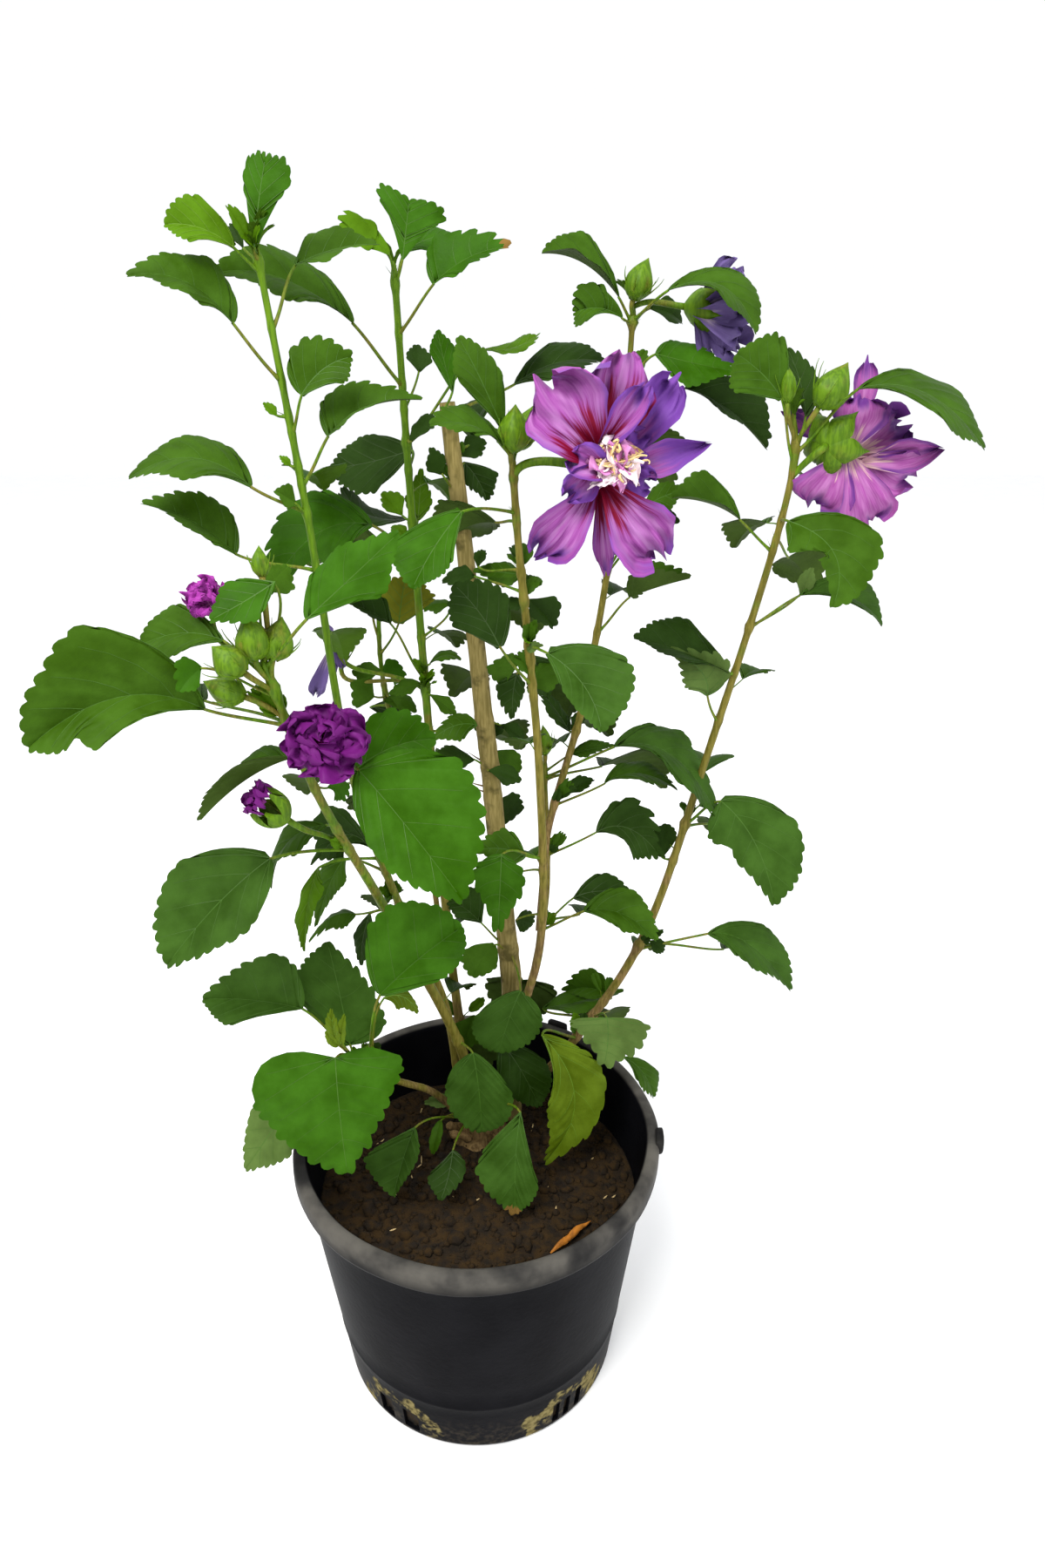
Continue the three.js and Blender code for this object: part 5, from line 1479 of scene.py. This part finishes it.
def add_lug(batch, heading, rng):
    """A short lifting lug on the rim: a rounded block with a chewed edge."""
    turn = math.radians(heading)
    out = np.array((math.cos(turn), math.sin(turn), 0))
    along = np.array((-math.sin(turn), math.cos(turn), 0))
    points = []
    for z, spread in LUG_LEVELS:
        for k in range(LUG_SIDES):
            a = TURN * k / LUG_SIDES
            rough = spread * (1 + rng.uniform(-0.05, 0.05))
            radial = POT["rim"] + 0.2 + 2.7 * squared(math.cos(a)) * rough
            sideways = 7.8 * squared(math.sin(a)) * rough
            points.append((out * radial + along * sideways + UP * (POT["height"] + z)) * MM)
    batch.add(points, capped_faces(len(LUG_LEVELS), LUG_SIDES), 0, (0, LUG_WEAR_AND_HIGHLIGHT, 0))


SOIL_TOP = 134.5
SOIL_COLUMNS, SOIL_ROWS = 180, 70
# Waves of the soil's surface: (height, pitch) in mm.
SOIL_WAVES = ((1.6, 23), (1.0, 11), (0.9, 6.3), (0.7, 3.7), (0.6, 2.3), (0.45, 1.5))
CRUMBS, CRUMB_SIDES = 1500, 6
CRUMB_SIZES, CLOD_SIZES = (0.7, 0.9, 1.2, 1.5, 2.0, 3.2), (4.0, 5.2)
CRUMBS_TO_A_CLOD = 24
STRAWS, STRAW_REACH = 30, 100
CROWN_PLACE = np.array((4, 44))


def soil_height(x, y, waves):
    """The crumbly surface, in mm, from x and y in mm."""
    z = SOIL_TOP - 2.6 * smooth_step(np.hypot(x - CROWN_PLACE[0], y - CROWN_PLACE[1]), 26, 60)
    for size, pitch, a, b in waves:
        z = z + size * np.sin(x / pitch + a) * np.sin(y / pitch * 1.13 + b)
    return z


def ring_at(radii, turn, z):
    """A closed ring of points. radii is one pair, along x and y, for all or for each point."""
    x, y = radii
    return np.stack([x * np.cos(turn), y * np.sin(turn), z * np.ones_like(turn)], axis=1)


def scattered(reach, rng):
    """A place at random inside a circle."""
    radius, a = reach * math.sqrt(rng.random()), rng.uniform(0, TURN)
    return radius * math.cos(a), radius * math.sin(a)


def make_soil(material, rng):
    """The fill of the pot, a rough surface and crumbs on it. Returns the surface's waves too."""
    batch = Batch(material)
    waves = [(size * 0.55, pitch, rng.uniform(0, 6), rng.uniform(0, 6)) for size, pitch in SOIL_WAVES]
    edge = wall_radius(SOIL_TOP) - POT["wall"] - 0.5
    foot = wall_radius(POT["floor"]) - POT["wall"] - 0.6
    turn = np.linspace(0, TURN, SOIL_COLUMNS, endpoint=False)
    rings = [ring_at((r, r), turn, z) for r, z in ((0.5, 3.6), (foot, 3.6), (edge, SOIL_TOP - 6))]
    for radius in np.linspace(edge, 0.4, SOIL_ROWS):
        height = soil_height(radius * np.cos(turn), radius * np.sin(turn), waves)
        rings.append(ring_at((radius, radius), turn, height))
    batch.add(np.vstack(rings) * MM, capped_faces(len(rings), SOIL_COLUMNS))
    for k in range(CRUMBS):
        x, y = scattered(edge - 3, rng)
        size = rng.choice(CRUMB_SIZES if k % CRUMBS_TO_A_CLOD else CLOD_SIZES) * rng.uniform(0.8, 1.3)
        z = float(soil_height(x, y, waves)) + size * 0.15
        add_crumb(batch, np.array((x, y, z)) * MM, size * MM, rng)
    return batch, waves


def add_crumb(batch, centre, size, rng):
    """A rough lump of earth."""
    squash = np.array([rng.uniform(0.7, 1.3), rng.uniform(0.7, 1.3), rng.uniform(0.5, 0.9)])
    points = []
    tilts = (-0.9, -0.3, 0.35, 0.95)
    for tilt in tilts:
        for k in range(CRUMB_SIDES):
            a = TURN * (k + rng.uniform(-0.2, 0.2)) / CRUMB_SIDES
            r = size * rng.uniform(0.75, 1.15)
            way = np.array((math.cos(tilt) * math.cos(a), math.cos(tilt) * math.sin(a), math.sin(tilt)))
            points.append(centre + way * r * squash)
    batch.add(points, capped_faces(len(tilts), CRUMB_SIDES))


# The dead leaf on the soil: its midrib's pixels and its half widths in mm.
DEAD_LEAF_LINE = ((632, 1440), (648, 1427), (664, 1413), (678, 1404))
DEAD_LEAF_WIDTHS = np.array((0.6, 1.6, 2.4, 3.0, 2.6, 3.2, 2.8, 2.0, 1.4, 0.5)) * MM
DEAD_LEAF_LEVEL = 0.1352
STRAW_WIDTHS = np.array((0.25, 0.5, 0.6, 0.6, 0.45, 0.2)) * MM


def make_litter(materials, waves, rng):
    """Bits of straw and a dead leaf on the soil."""
    batch = Batch(*materials)
    for _ in range(STRAWS):
        x, y = scattered(STRAW_REACH, rng)
        way = rng.uniform(0, math.pi)
        half = rng.uniform(1.0, 4.0)
        line = []
        for s in (-1, -0.3, 0.4, 1):
            px, py = x + s * half * math.cos(way), y + s * half * math.sin(way) + 0.5 * s * s
            if math.hypot(px, py) > STRAW_REACH + 4:
                px, py = px * 0.93, py * 0.93
            line.append((px, py, float(soil_height(px, py, waves)) + 0.8))
        path = resample(np.array(line) * MM, len(STRAW_WIDTHS))
        add_tube(batch, path, STRAW_WIDTHS[:, None] * np.array((1, 0.5) * 3), 6)
    rings = len(DEAD_LEAF_WIDTHS)
    path = curve_through([on_level(pixel, DEAD_LEAF_LEVEL) for pixel in DEAD_LEAF_LINE], 6)
    path = resample(path, rings)
    path[:, 2] += 1.2 * MM + 1.5 * MM * np.sin(np.linspace(0, 7, rings)) ** 2
    add_tube(batch, path, DEAD_LEAF_WIDTHS[:, None] * np.array((1, 0.12) * 4), 8, 1)
    return batch


# Levels of the woody stool: (height over its foot in mm, spread).
CROWN_LEVELS = [(-2.5, 1.3), (0.5, 1.2), (3, 1.0), (7, 0.84), (12, 0.74), (18, 0.66), (23, 0.56), (27, 0.4),
                (29.5, 0.2)]
CROWN_FOOT, CROWN_SIDES = 135.4, 40
CROWN_RADII = np.array((20, 13.5))
# Cut stubs on it: (x, y, length in mm, lean to +X).
CROWN_STUBS = ((-12, 34, 17, -0.7), (12, 33, 9, 0.4), (-20, 44, 12, -0.9), (20, 52, 12, 0.6))
STUB_RADII = np.array((3.6, 3.3, 3, 2.8, 2.8, 3.1, 3.2, 2.4)) * MM
CROWN_AGE, STUB_AGE = 1.1, 1.05


def make_crown(batch):
    """The woody stool: a flared, knobbed foot with a few cut stubs."""
    turn = np.linspace(0, TURN, CROWN_SIDES, endpoint=False)
    rings = []
    for height, spread in CROWN_LEVELS:
        knob = 1 + 0.09 * np.sin(5 * turn + height * 0.3) + 0.06 * np.sin(9 * turn - height * 0.5)
        z = CROWN_FOOT + height + 0.8 * np.sin(7 * turn + 2)
        rings.append(ring_at(CROWN_RADII[:, None] * spread * knob, turn, z) + (*CROWN_PLACE, 0))
    *faces, _, top = capped_faces(len(CROWN_LEVELS), CROWN_SIDES)
    batch.add(np.vstack(rings) * MM, [*faces, top], 0, (CROWN_AGE, 0, 0))
    for x, y, reach, lean in CROWN_STUBS:
        foot = np.array((x * 0.7, y, 141)) * MM
        end = foot + unit(np.array((lean, -0.5, 0.8))) * reach * MM
        path = bezier(foot, foot + UP * 3 * MM, end - UP * 2 * MM, end, len(STUB_RADII))
        add_tube(batch, path, STUB_RADII, 10, ages=STUB_AGE)


# ---- Assembly ----

NODES_OF_LIMB = {
    "left_leader": ["leaves_left_tip", "leaves_left_upper", "leaves_left_side", "leaves_left_lower",
                    "leaves_left_wide", "leaves_left_foot"],
    "second_leader": ["leaves_second_tip", "leaves_second_front", "leaves_second_side", "leaves_second_back",
                      "leaves_second_wide", "leaves_second_waist"],
    "thin_stem": ["leaves_thin_stem"],
    "low_shoot": ["leaves_low_shoot"],
    "front_stem": ["leaves_front_head", "leaves_front_waist", "leaves_front_lower", "leaves_foot_left"],
    "trunk": ["leaves_trunk_head", "leaves_trunk_waist", "leaves_trunk_foot", "leaves_foot_upper"],
    "middle_stem": ["leaves_middle_head", "leaves_middle_inner", "leaves_middle_wide", "leaves_middle_foot"],
    "back_stem": ["leaves_back_tip", "leaves_back_inner", "leaves_back_waist", "leaves_back_lower"],
    "bud_stem": ["leaves_bud_head", "leaves_bud_foot"],
    "right_stem": ["leaves_right_tip", "leaves_right_shoulder", "leaves_right_side", "leaves_right_upper",
                   "leaves_right_mid", "leaves_right_low", "leaves_right_foot", "leaves_foot_front"],
    "crown": [],
}
FILLER_LEAVES = {
    "left_leader": 4,
    "second_leader": 4,
    "middle_stem": 3,
    "front_stem": 3,
    "right_stem": 5,
    "back_stem": 5,
}
# Joints above this row of the frame carry no small leaves.
FIRST_SHOOT_ROW = {"right_stem": 900}
# Broken twigs on the trunk: the row of the foot and the pixel of the end.
TWIG_STUBS = [(878, (536, 866)), (904, (533, 900)), (912, (541, 906))]
STIPULES = 2
SHOOT_LIMBS = ("back_stem", "bud_stem", "thin_stem")

# The upper side's colour and roughness by tone. The shaded tone is painted shade: a darker copy of the green
# for leaves in the crown's shade and on its far side.
LEAF_GREENS = {
    "young": (srgb(68, 104, 2), 0.55),
    "bright": (srgb(43, 83, 1), 0.55),
    "mature": (srgb(49, 80, 6), 0.55),
    "shaded": (srgb(32, 55, 7), 0.56),
    "pale": (srgb(74, 96, 42), 0.62),
    "aged": (srgb(94, 98, 18), 0.6),
    "yellow": (srgb(78, 98, 10), 0.56),
    "dusty": (srgb(48, 78, 18), 0.6),
    "scorched": (srgb(112, 86, 40), 0.75),
}
LEAF_MATERIALS = [leaf_material(f"leaf_{tone}", *LEAF_GREENS[tone]) for tone in TONES]
LEAF_MATERIALS.append(leaf_material("leaf_underside", srgb(56, 76, 24), 0.68))
LEAF_MATERIALS.append(leaf_material("leaf_young_underside", srgb(62, 92, 14), 0.62))
BARK = bark_material()
VEIN_MATERIALS = [
    # The first vein green is a darker copy for the shaded leaves: painted shade.
    plain_material("vein_shaded", srgb(44, 68, 16), 0.55, 300, 0.15),
    plain_material("vein_green", srgb(54, 90, 12), 0.55, 300, 0.15),
    plain_material("vein_young", srgb(84, 118, 20), 0.55, 300, 0.15),
]


def dress_limb(name, limb, veins, stalks):
    """A limb's leaves from the table, with small leaves and stipules at its joints."""
    rng = random.Random(f"leaves on {name}")
    leaves = Batch(*LEAF_MATERIALS)
    batches = (leaves, veins, stalks)
    for leaf in LEAVES[name]:
        share, joint, outward = add_leaf(batches, limb, leaf, rng)
        chance = 0.35 if limb.age(share) > 0.3 else 0.12
        if leaf.joint > FIRST_SHOOT_ROW.get(name, 0) and rng.random() < chance:
            add_side_shoot(batches, limb, share, outward, rng)
        for _ in range(STIPULES):
            way = unit(outward + UP * 0.6 + drawn_sway(rng) * 0.7)
            add_spike(stalks, joint, way, rng.uniform(3, 7) * MM, 0.3 * MM)
    add_filler_leaves(batches, limb, FILLER_LEAVES.get(name, 0), rng)
    if name == "trunk":
        for row, pixel in TWIG_STUBS:
            joint = limb.at_row(row)
            gap = at_pixel(pixel, joint[1] - 2 * MM) - joint
            add_spike(stalks, joint, unit(gap), np.linalg.norm(gap), 0.9 * MM, 0.9)
    elif name != "crown":
        add_tip_tuft(batches, limb, rng)
    leaves.build(f"leaves_on_{name}", "leaf", *NODES_OF_LIMB[name])


def build_plant():
    """Everything above the soil: leaves, buds and blooms first, because their joints swell the bark."""
    veins, stalks = Batch(*VEIN_MATERIALS), Batch(BARK)
    for name, limb in LIMBS.items():
        dress_limb(name, limb, veins, stalks)
    greens = Batch(BARK)
    rng = random.Random("buds")
    for bud in BUDS:
        add_bud(greens, bud, rng)
    build_blooms(greens, rng)
    for name, limb in LIMBS.items():
        if name == "crown":
            continue
        batch = Batch(BARK)
        add_limb_bark(batch, name, limb, random.Random(f"bark of {name}"))
        batch.build(f"bark_of_{name}", "shoot" if name in SHOOT_LIMBS else "wood", name)
    crown = Batch(BARK)
    make_crown(crown)
    add_limb_bark(crown, "crown", LIMBS["crown"], random.Random("bark of crown"))
    crown.build("bark_of_root_crown", "wood", "root_crown")
    veins.build("leaf_veins", "leaf")
    stalks.build("leaf_stalks", "leaf")
    greens.build("buds_and_sepals", "petal")


PETALS = {
    "front": petal_material("petal_lilac", srgb(132, 61, 134), srgb(152, 82, 152), srgb(104, 58, 142),
                            srgb(112, 3, 36), 0.38),
    "right": petal_material("petal_plum", srgb(148, 68, 142), srgb(170, 98, 164), srgb(98, 48, 124),
                            srgb(206, 168, 172), 0.26),
    "spent": petal_material("petal_spent", srgb(146, 124, 154), srgb(214, 198, 212), srgb(100, 82, 134),
                            srgb(100, 20, 80), 0.15),
    "double": petal_material("petal_double", srgb(124, 32, 116), srgb(172, 74, 162), srgb(94, 18, 98),
                             srgb(120, 14, 90), 0.2),
}
MAGENTA = petal_material("petal_magenta", srgb(176, 76, 164), srgb(200, 116, 186), srgb(150, 52, 146),
                        srgb(170, 120, 130), 0.15)
STAMENS = (
    plain_material("stamen_cream", srgb(228, 200, 140), 0.5, 400, 0.12),
    plain_material("stamen_white", srgb(236, 216, 220), 0.5, 400, 0.06),
    plain_material("stamen_pink", srgb(190, 120, 174), 0.5, 400, 0.15),
)


def build_front_bloom(greens, rng):
    """The open bloom on the middle stem."""
    base, heart = at_pixel((664, 534), -0.004), at_pixel((696, 540), -0.012)
    way = unit(heart - base)
    joint = LIMBS["middle_stem"].at_row(552)
    add_stalk(greens, joint, unit(UP * 0.8 + FRONT * 0.2), base, way, (1.9, 2.4), 0.15)
    add_calyx(greens, base, way, 20 * MM, 9 * MM, rng, 0.7)
    add_bracts(greens, base, way, 13 * MM, 6 * MM, rng)
    petals = Batch(PETALS["front"])
    place_petals(petals, FRONT_BLOOM, -0.014, rng)
    petals.build("petals_front_bloom", "petal", "bloom_front")
    stamens = Batch(*STAMENS)
    add_petaloids(stamens, at_pixel((706, 530), -0.024), rng, 20, (2, 1, 2, 0, 2, 1))
    add_strips(stamens, at_pixel((706, 528), -0.030), rng, 34, (0, 0, 1, 2, 0, 1))
    stamens.build("stamens_front_bloom", "petal")


def build_right_bloom(greens, rng):
    """The bloom on the right stem, which turns its back."""
    base = at_pixel((948, 513), 0.036)
    away = unit(np.array((0.55, 0.75, 0.1)))
    joint = LIMBS["right_stem"].at_row(548)
    add_stalk(greens, joint, unit(RIGHT * 0.6 + UP * 0.8), base, away, (1.6, 2.2), 0.2)
    add_calyx(greens, base, away, 19 * MM, 14 * MM, rng, 0.95)
    add_bracts(greens, base, away, 12 * MM, 6 * MM, rng)
    petals = Batch(PETALS["right"])
    place_petals(petals, RIGHT_BLOOM, 0.040, rng, toward=unit(FRONT - away * 0.3))
    petals.build("petals_right_bloom", "petal", "bloom_right")


def build_spent_bloom(greens, rng):
    """The spent bloom on the back stem."""
    base = at_pixel((786, 352), 0.088)
    way = unit(at_pixel((830, 356), 0.086) - base)
    joint = LIMBS["back_stem"].at_row(352)
    add_stalk(greens, joint, unit(UP * 0.5 + RIGHT), base, way, (1.4, 1.8), 0.2)
    add_calyx(greens, base, way, 24 * MM, 15 * MM, rng, 0.4)
    petals = Batch(PETALS["spent"])
    place_petals(petals, SPENT_BLOOM, 0.086, rng)
    petals.build("petals_spent_bloom", "petal", "bloom_spent")


def build_double_bloom(greens, rng):
    """The double bloom on the front stem."""
    heart = at_pixel((372, 850), -0.082)
    base = heart + np.array((4, 14, -6)) * MM
    joint = LIMBS["front_stem"].at_row(900)
    add_stalk(greens, joint, unit(UP * 0.4 + FRONT * 0.3 - RIGHT * 0.3), base, FRONT, (1.6, 2.2), 0.2)
    add_calyx(greens, base, FRONT, 15 * MM, 10 * MM, rng, 0.9)
    petals = Batch(PETALS["double"])
    back, front = np.array((0, 10, -4)) * MM, np.array((0, -6, 2)) * MM
    add_pod(petals, heart + back, heart + front, 16 * MM, rng)
    rings = ((3, 0.25), (4, 0.62), (6, 1.0))
    add_pompom(petals, heart, 20.5 * MM, unit(FRONT + UP * 0.35), rng, rings, flat=0.8)
    petals.build("petals_double_bloom", "petal", "bloom_double")


def add_small_bloom(greens, small, rng):
    """The small magenta bloom over the cluster of buds."""
    heart = at_pixel((240, 688), -0.066)
    joint = LIMBS["front_stem"].at_row(770)
    add_stalk(greens, joint, unit(UP - RIGHT), heart - UP * 10 * MM, UP, (1.2, 1.6), 0.2)
    add_pompom(small, heart, 13 * MM, unit(UP + FRONT * 0.8), rng, ((3, 0.3), (6, 0.9)), MAGENTA_SLOT)


def add_opening_bud(greens, small, rng):
    """The bud on the front stem that shows its first purple petals."""
    base, tip = at_pixel((330, 941), -0.072), at_pixel((287, 912), -0.080)
    way = unit(tip - base)
    joint = LIMBS["front_stem"].at_row(978)
    add_stalk(greens, joint, unit(UP - RIGHT), base, way, (1.2, 1.7), 0.2)
    add_calyx(greens, base, way, 20 * MM, 12 * MM, rng, 0.42)
    add_bracts(greens, base, way, 13 * MM, 7 * MM, rng)
    add_pompom(small, base + (tip - base) * 0.8, 10.5 * MM, way, rng, ((3, 0.4), (5, 0.8)))


def add_withered_bloom(greens, small, rng):
    """The withered petals behind the cluster of buds."""
    leader = LIMBS["second_leader"]
    depth = leader.at_row(770)[1]
    place_petals(small, WITHERED_BLOOM, depth, rng, slot=SPENT_SLOT)
    base = at_pixel((388, 742), depth)
    add_stalk(greens, leader.at_row(795), unit(UP - RIGHT * 0.8), base, UP, (1.0, 1.5), 0.2)


def build_blooms(greens, rng):
    """All blooms, in the order of their random draws."""
    for build_bloom in (build_front_bloom, build_right_bloom, build_spent_bloom, build_double_bloom):
        build_bloom(greens, rng)
    small = Batch(PETALS["double"], PETALS["spent"], MAGENTA)
    for add_bloom in (add_small_bloom, add_opening_bud, add_withered_bloom):
        add_bloom(greens, small, rng)
    small.build("petals_small_blooms", "petal")


def build_pot():
    """The pot, its soil and the litter on it."""
    pot = make_pot(pot_material(), random.Random("pot"))
    pot.build("pot_shell", "pot", "pot")
    soil_brown = plain_material("soil_brown", srgb(38, 25, 5), 0.95, 150, 0.6, 0.0014)
    soil, waves = make_soil(soil_brown, random.Random("soil"))
    soil.build("soil_fill", "soil", "soil")
    straw = plain_material("straw", srgb(196, 170, 120), 0.8, 300, 0.25)
    dead_leaf = plain_material("dead_leaf", srgb(168, 104, 30), 0.7, 200, 0.3)
    litter = make_litter((straw, dead_leaf), waves, random.Random("litter"))
    litter.build("litter_on_soil", "soil")


def pot_material():
    """Charcoal plastic with a lighter grey rim, partly real wear and partly a painted highlight on its top,
    and dried arcs of mud round the slots.
    """
    shader = Shader("pot_plastic", specular=0.015)
    stain, wear_and_highlight, low = shader.values()
    where = shader.place()
    cloud = shader.noise(where, 30.0, 4.0)
    grain = shader.noise(where, 260.0, 3.0)
    body = shader.mix(shader.range(cloud, 0.3, 0.7), srgb(9, 9, 12), srgb(16, 16, 19))
    # The rim's lighter grey: partly real wear, partly a painted highlight on its top.
    worn_and_lit = shader.mix(shader.range(cloud, 0.3, 0.7), srgb(50, 49, 48), srgb(88, 85, 79))
    body = shader.mix(shader.math("MULTIPLY", wear_and_highlight, shader.range(cloud, 0.2, 0.6, 0.35, 1.0)), body, worn_and_lit)
    dust = shader.math("MULTIPLY", low, shader.range(grain, 0.4, 0.75, 0.0, 0.6))
    body = shader.mix(dust, body, srgb(70, 62, 50))
    mud = shader.mix(shader.range(grain, 0.35, 0.65), srgb(90, 81, 51), srgb(126, 115, 76))
    edge = shader.math("MULTIPLY", stain, shader.range(cloud, 0.35, 0.6, 0.5, 1.3))
    edge = shader.math("ADD", edge, shader.range(grain, 0.3, 0.7, -0.3, 0.12))
    ring = shader.range(edge, 0.42, 0.9)
    body = shader.mix(ring, body, mud)
    shader.bump(shader.math("ADD", cloud, grain), 0.0005, 0.25)
    return shader.done(body, shader.range(ring, 0.0, 1.0, 0.42, 0.85))


# ---- Stage and light ----

LIGHT_AIM = np.array((0.02, 0.0, 0.4))


def add_floor():
    """A pale floor just below the pot."""
    mesh = bpy.data.meshes.new("floor")
    half = 4.0
    corners = [(-half, -half, 0), (half, -half, 0), (half, half, 0), (-half, half, 0)]
    mesh.from_pydata(corners, [], [(0, 1, 2, 3)])
    floor = bpy.data.objects.new("floor", mesh)
    floor.location.z = -0.0005
    mesh.materials.append(plain_material("floor_grey", srgb(250, 250, 250), 0.9, 20, 0.01))
    bpy.context.scene.collection.objects.link(floor)


def add_area_light(name, place, size, watts, colour):
    """A square light that shines on the middle of the plant."""
    data = bpy.data.lights.new(name, "AREA")
    data.size = size
    data.energy = watts
    data.color = colour
    light = bpy.data.objects.new(name, data)
    light.location = place
    x, y, z = LIGHT_AIM - np.array(place)
    light.rotation_euler = (math.atan2(math.hypot(x, y), -z), 0, math.atan2(-x, y))
    bpy.context.scene.collection.objects.link(light)


def add_world():
    """An even white sky."""
    world = bpy.data.worlds.new("overcast")
    world.use_nodes = True
    background = world.node_tree.nodes["Background"]
    background.inputs["Color"].default_value = srgb(252, 253, 255)
    background.inputs["Strength"].default_value = 1.03
    bpy.context.scene.world = world


build_plant()
build_pot()
make_camera()
add_floor()
add_world()
add_area_light("key", (-0.5, -0.9, 1.9), 0.9, 40, (1.0, 0.99, 0.96))
add_area_light("fill", (1.1, -0.6, 1.0), 1.0, 7, (0.96, 0.98, 1.0))
bpy.context.scene.view_settings.view_transform = "Standard"
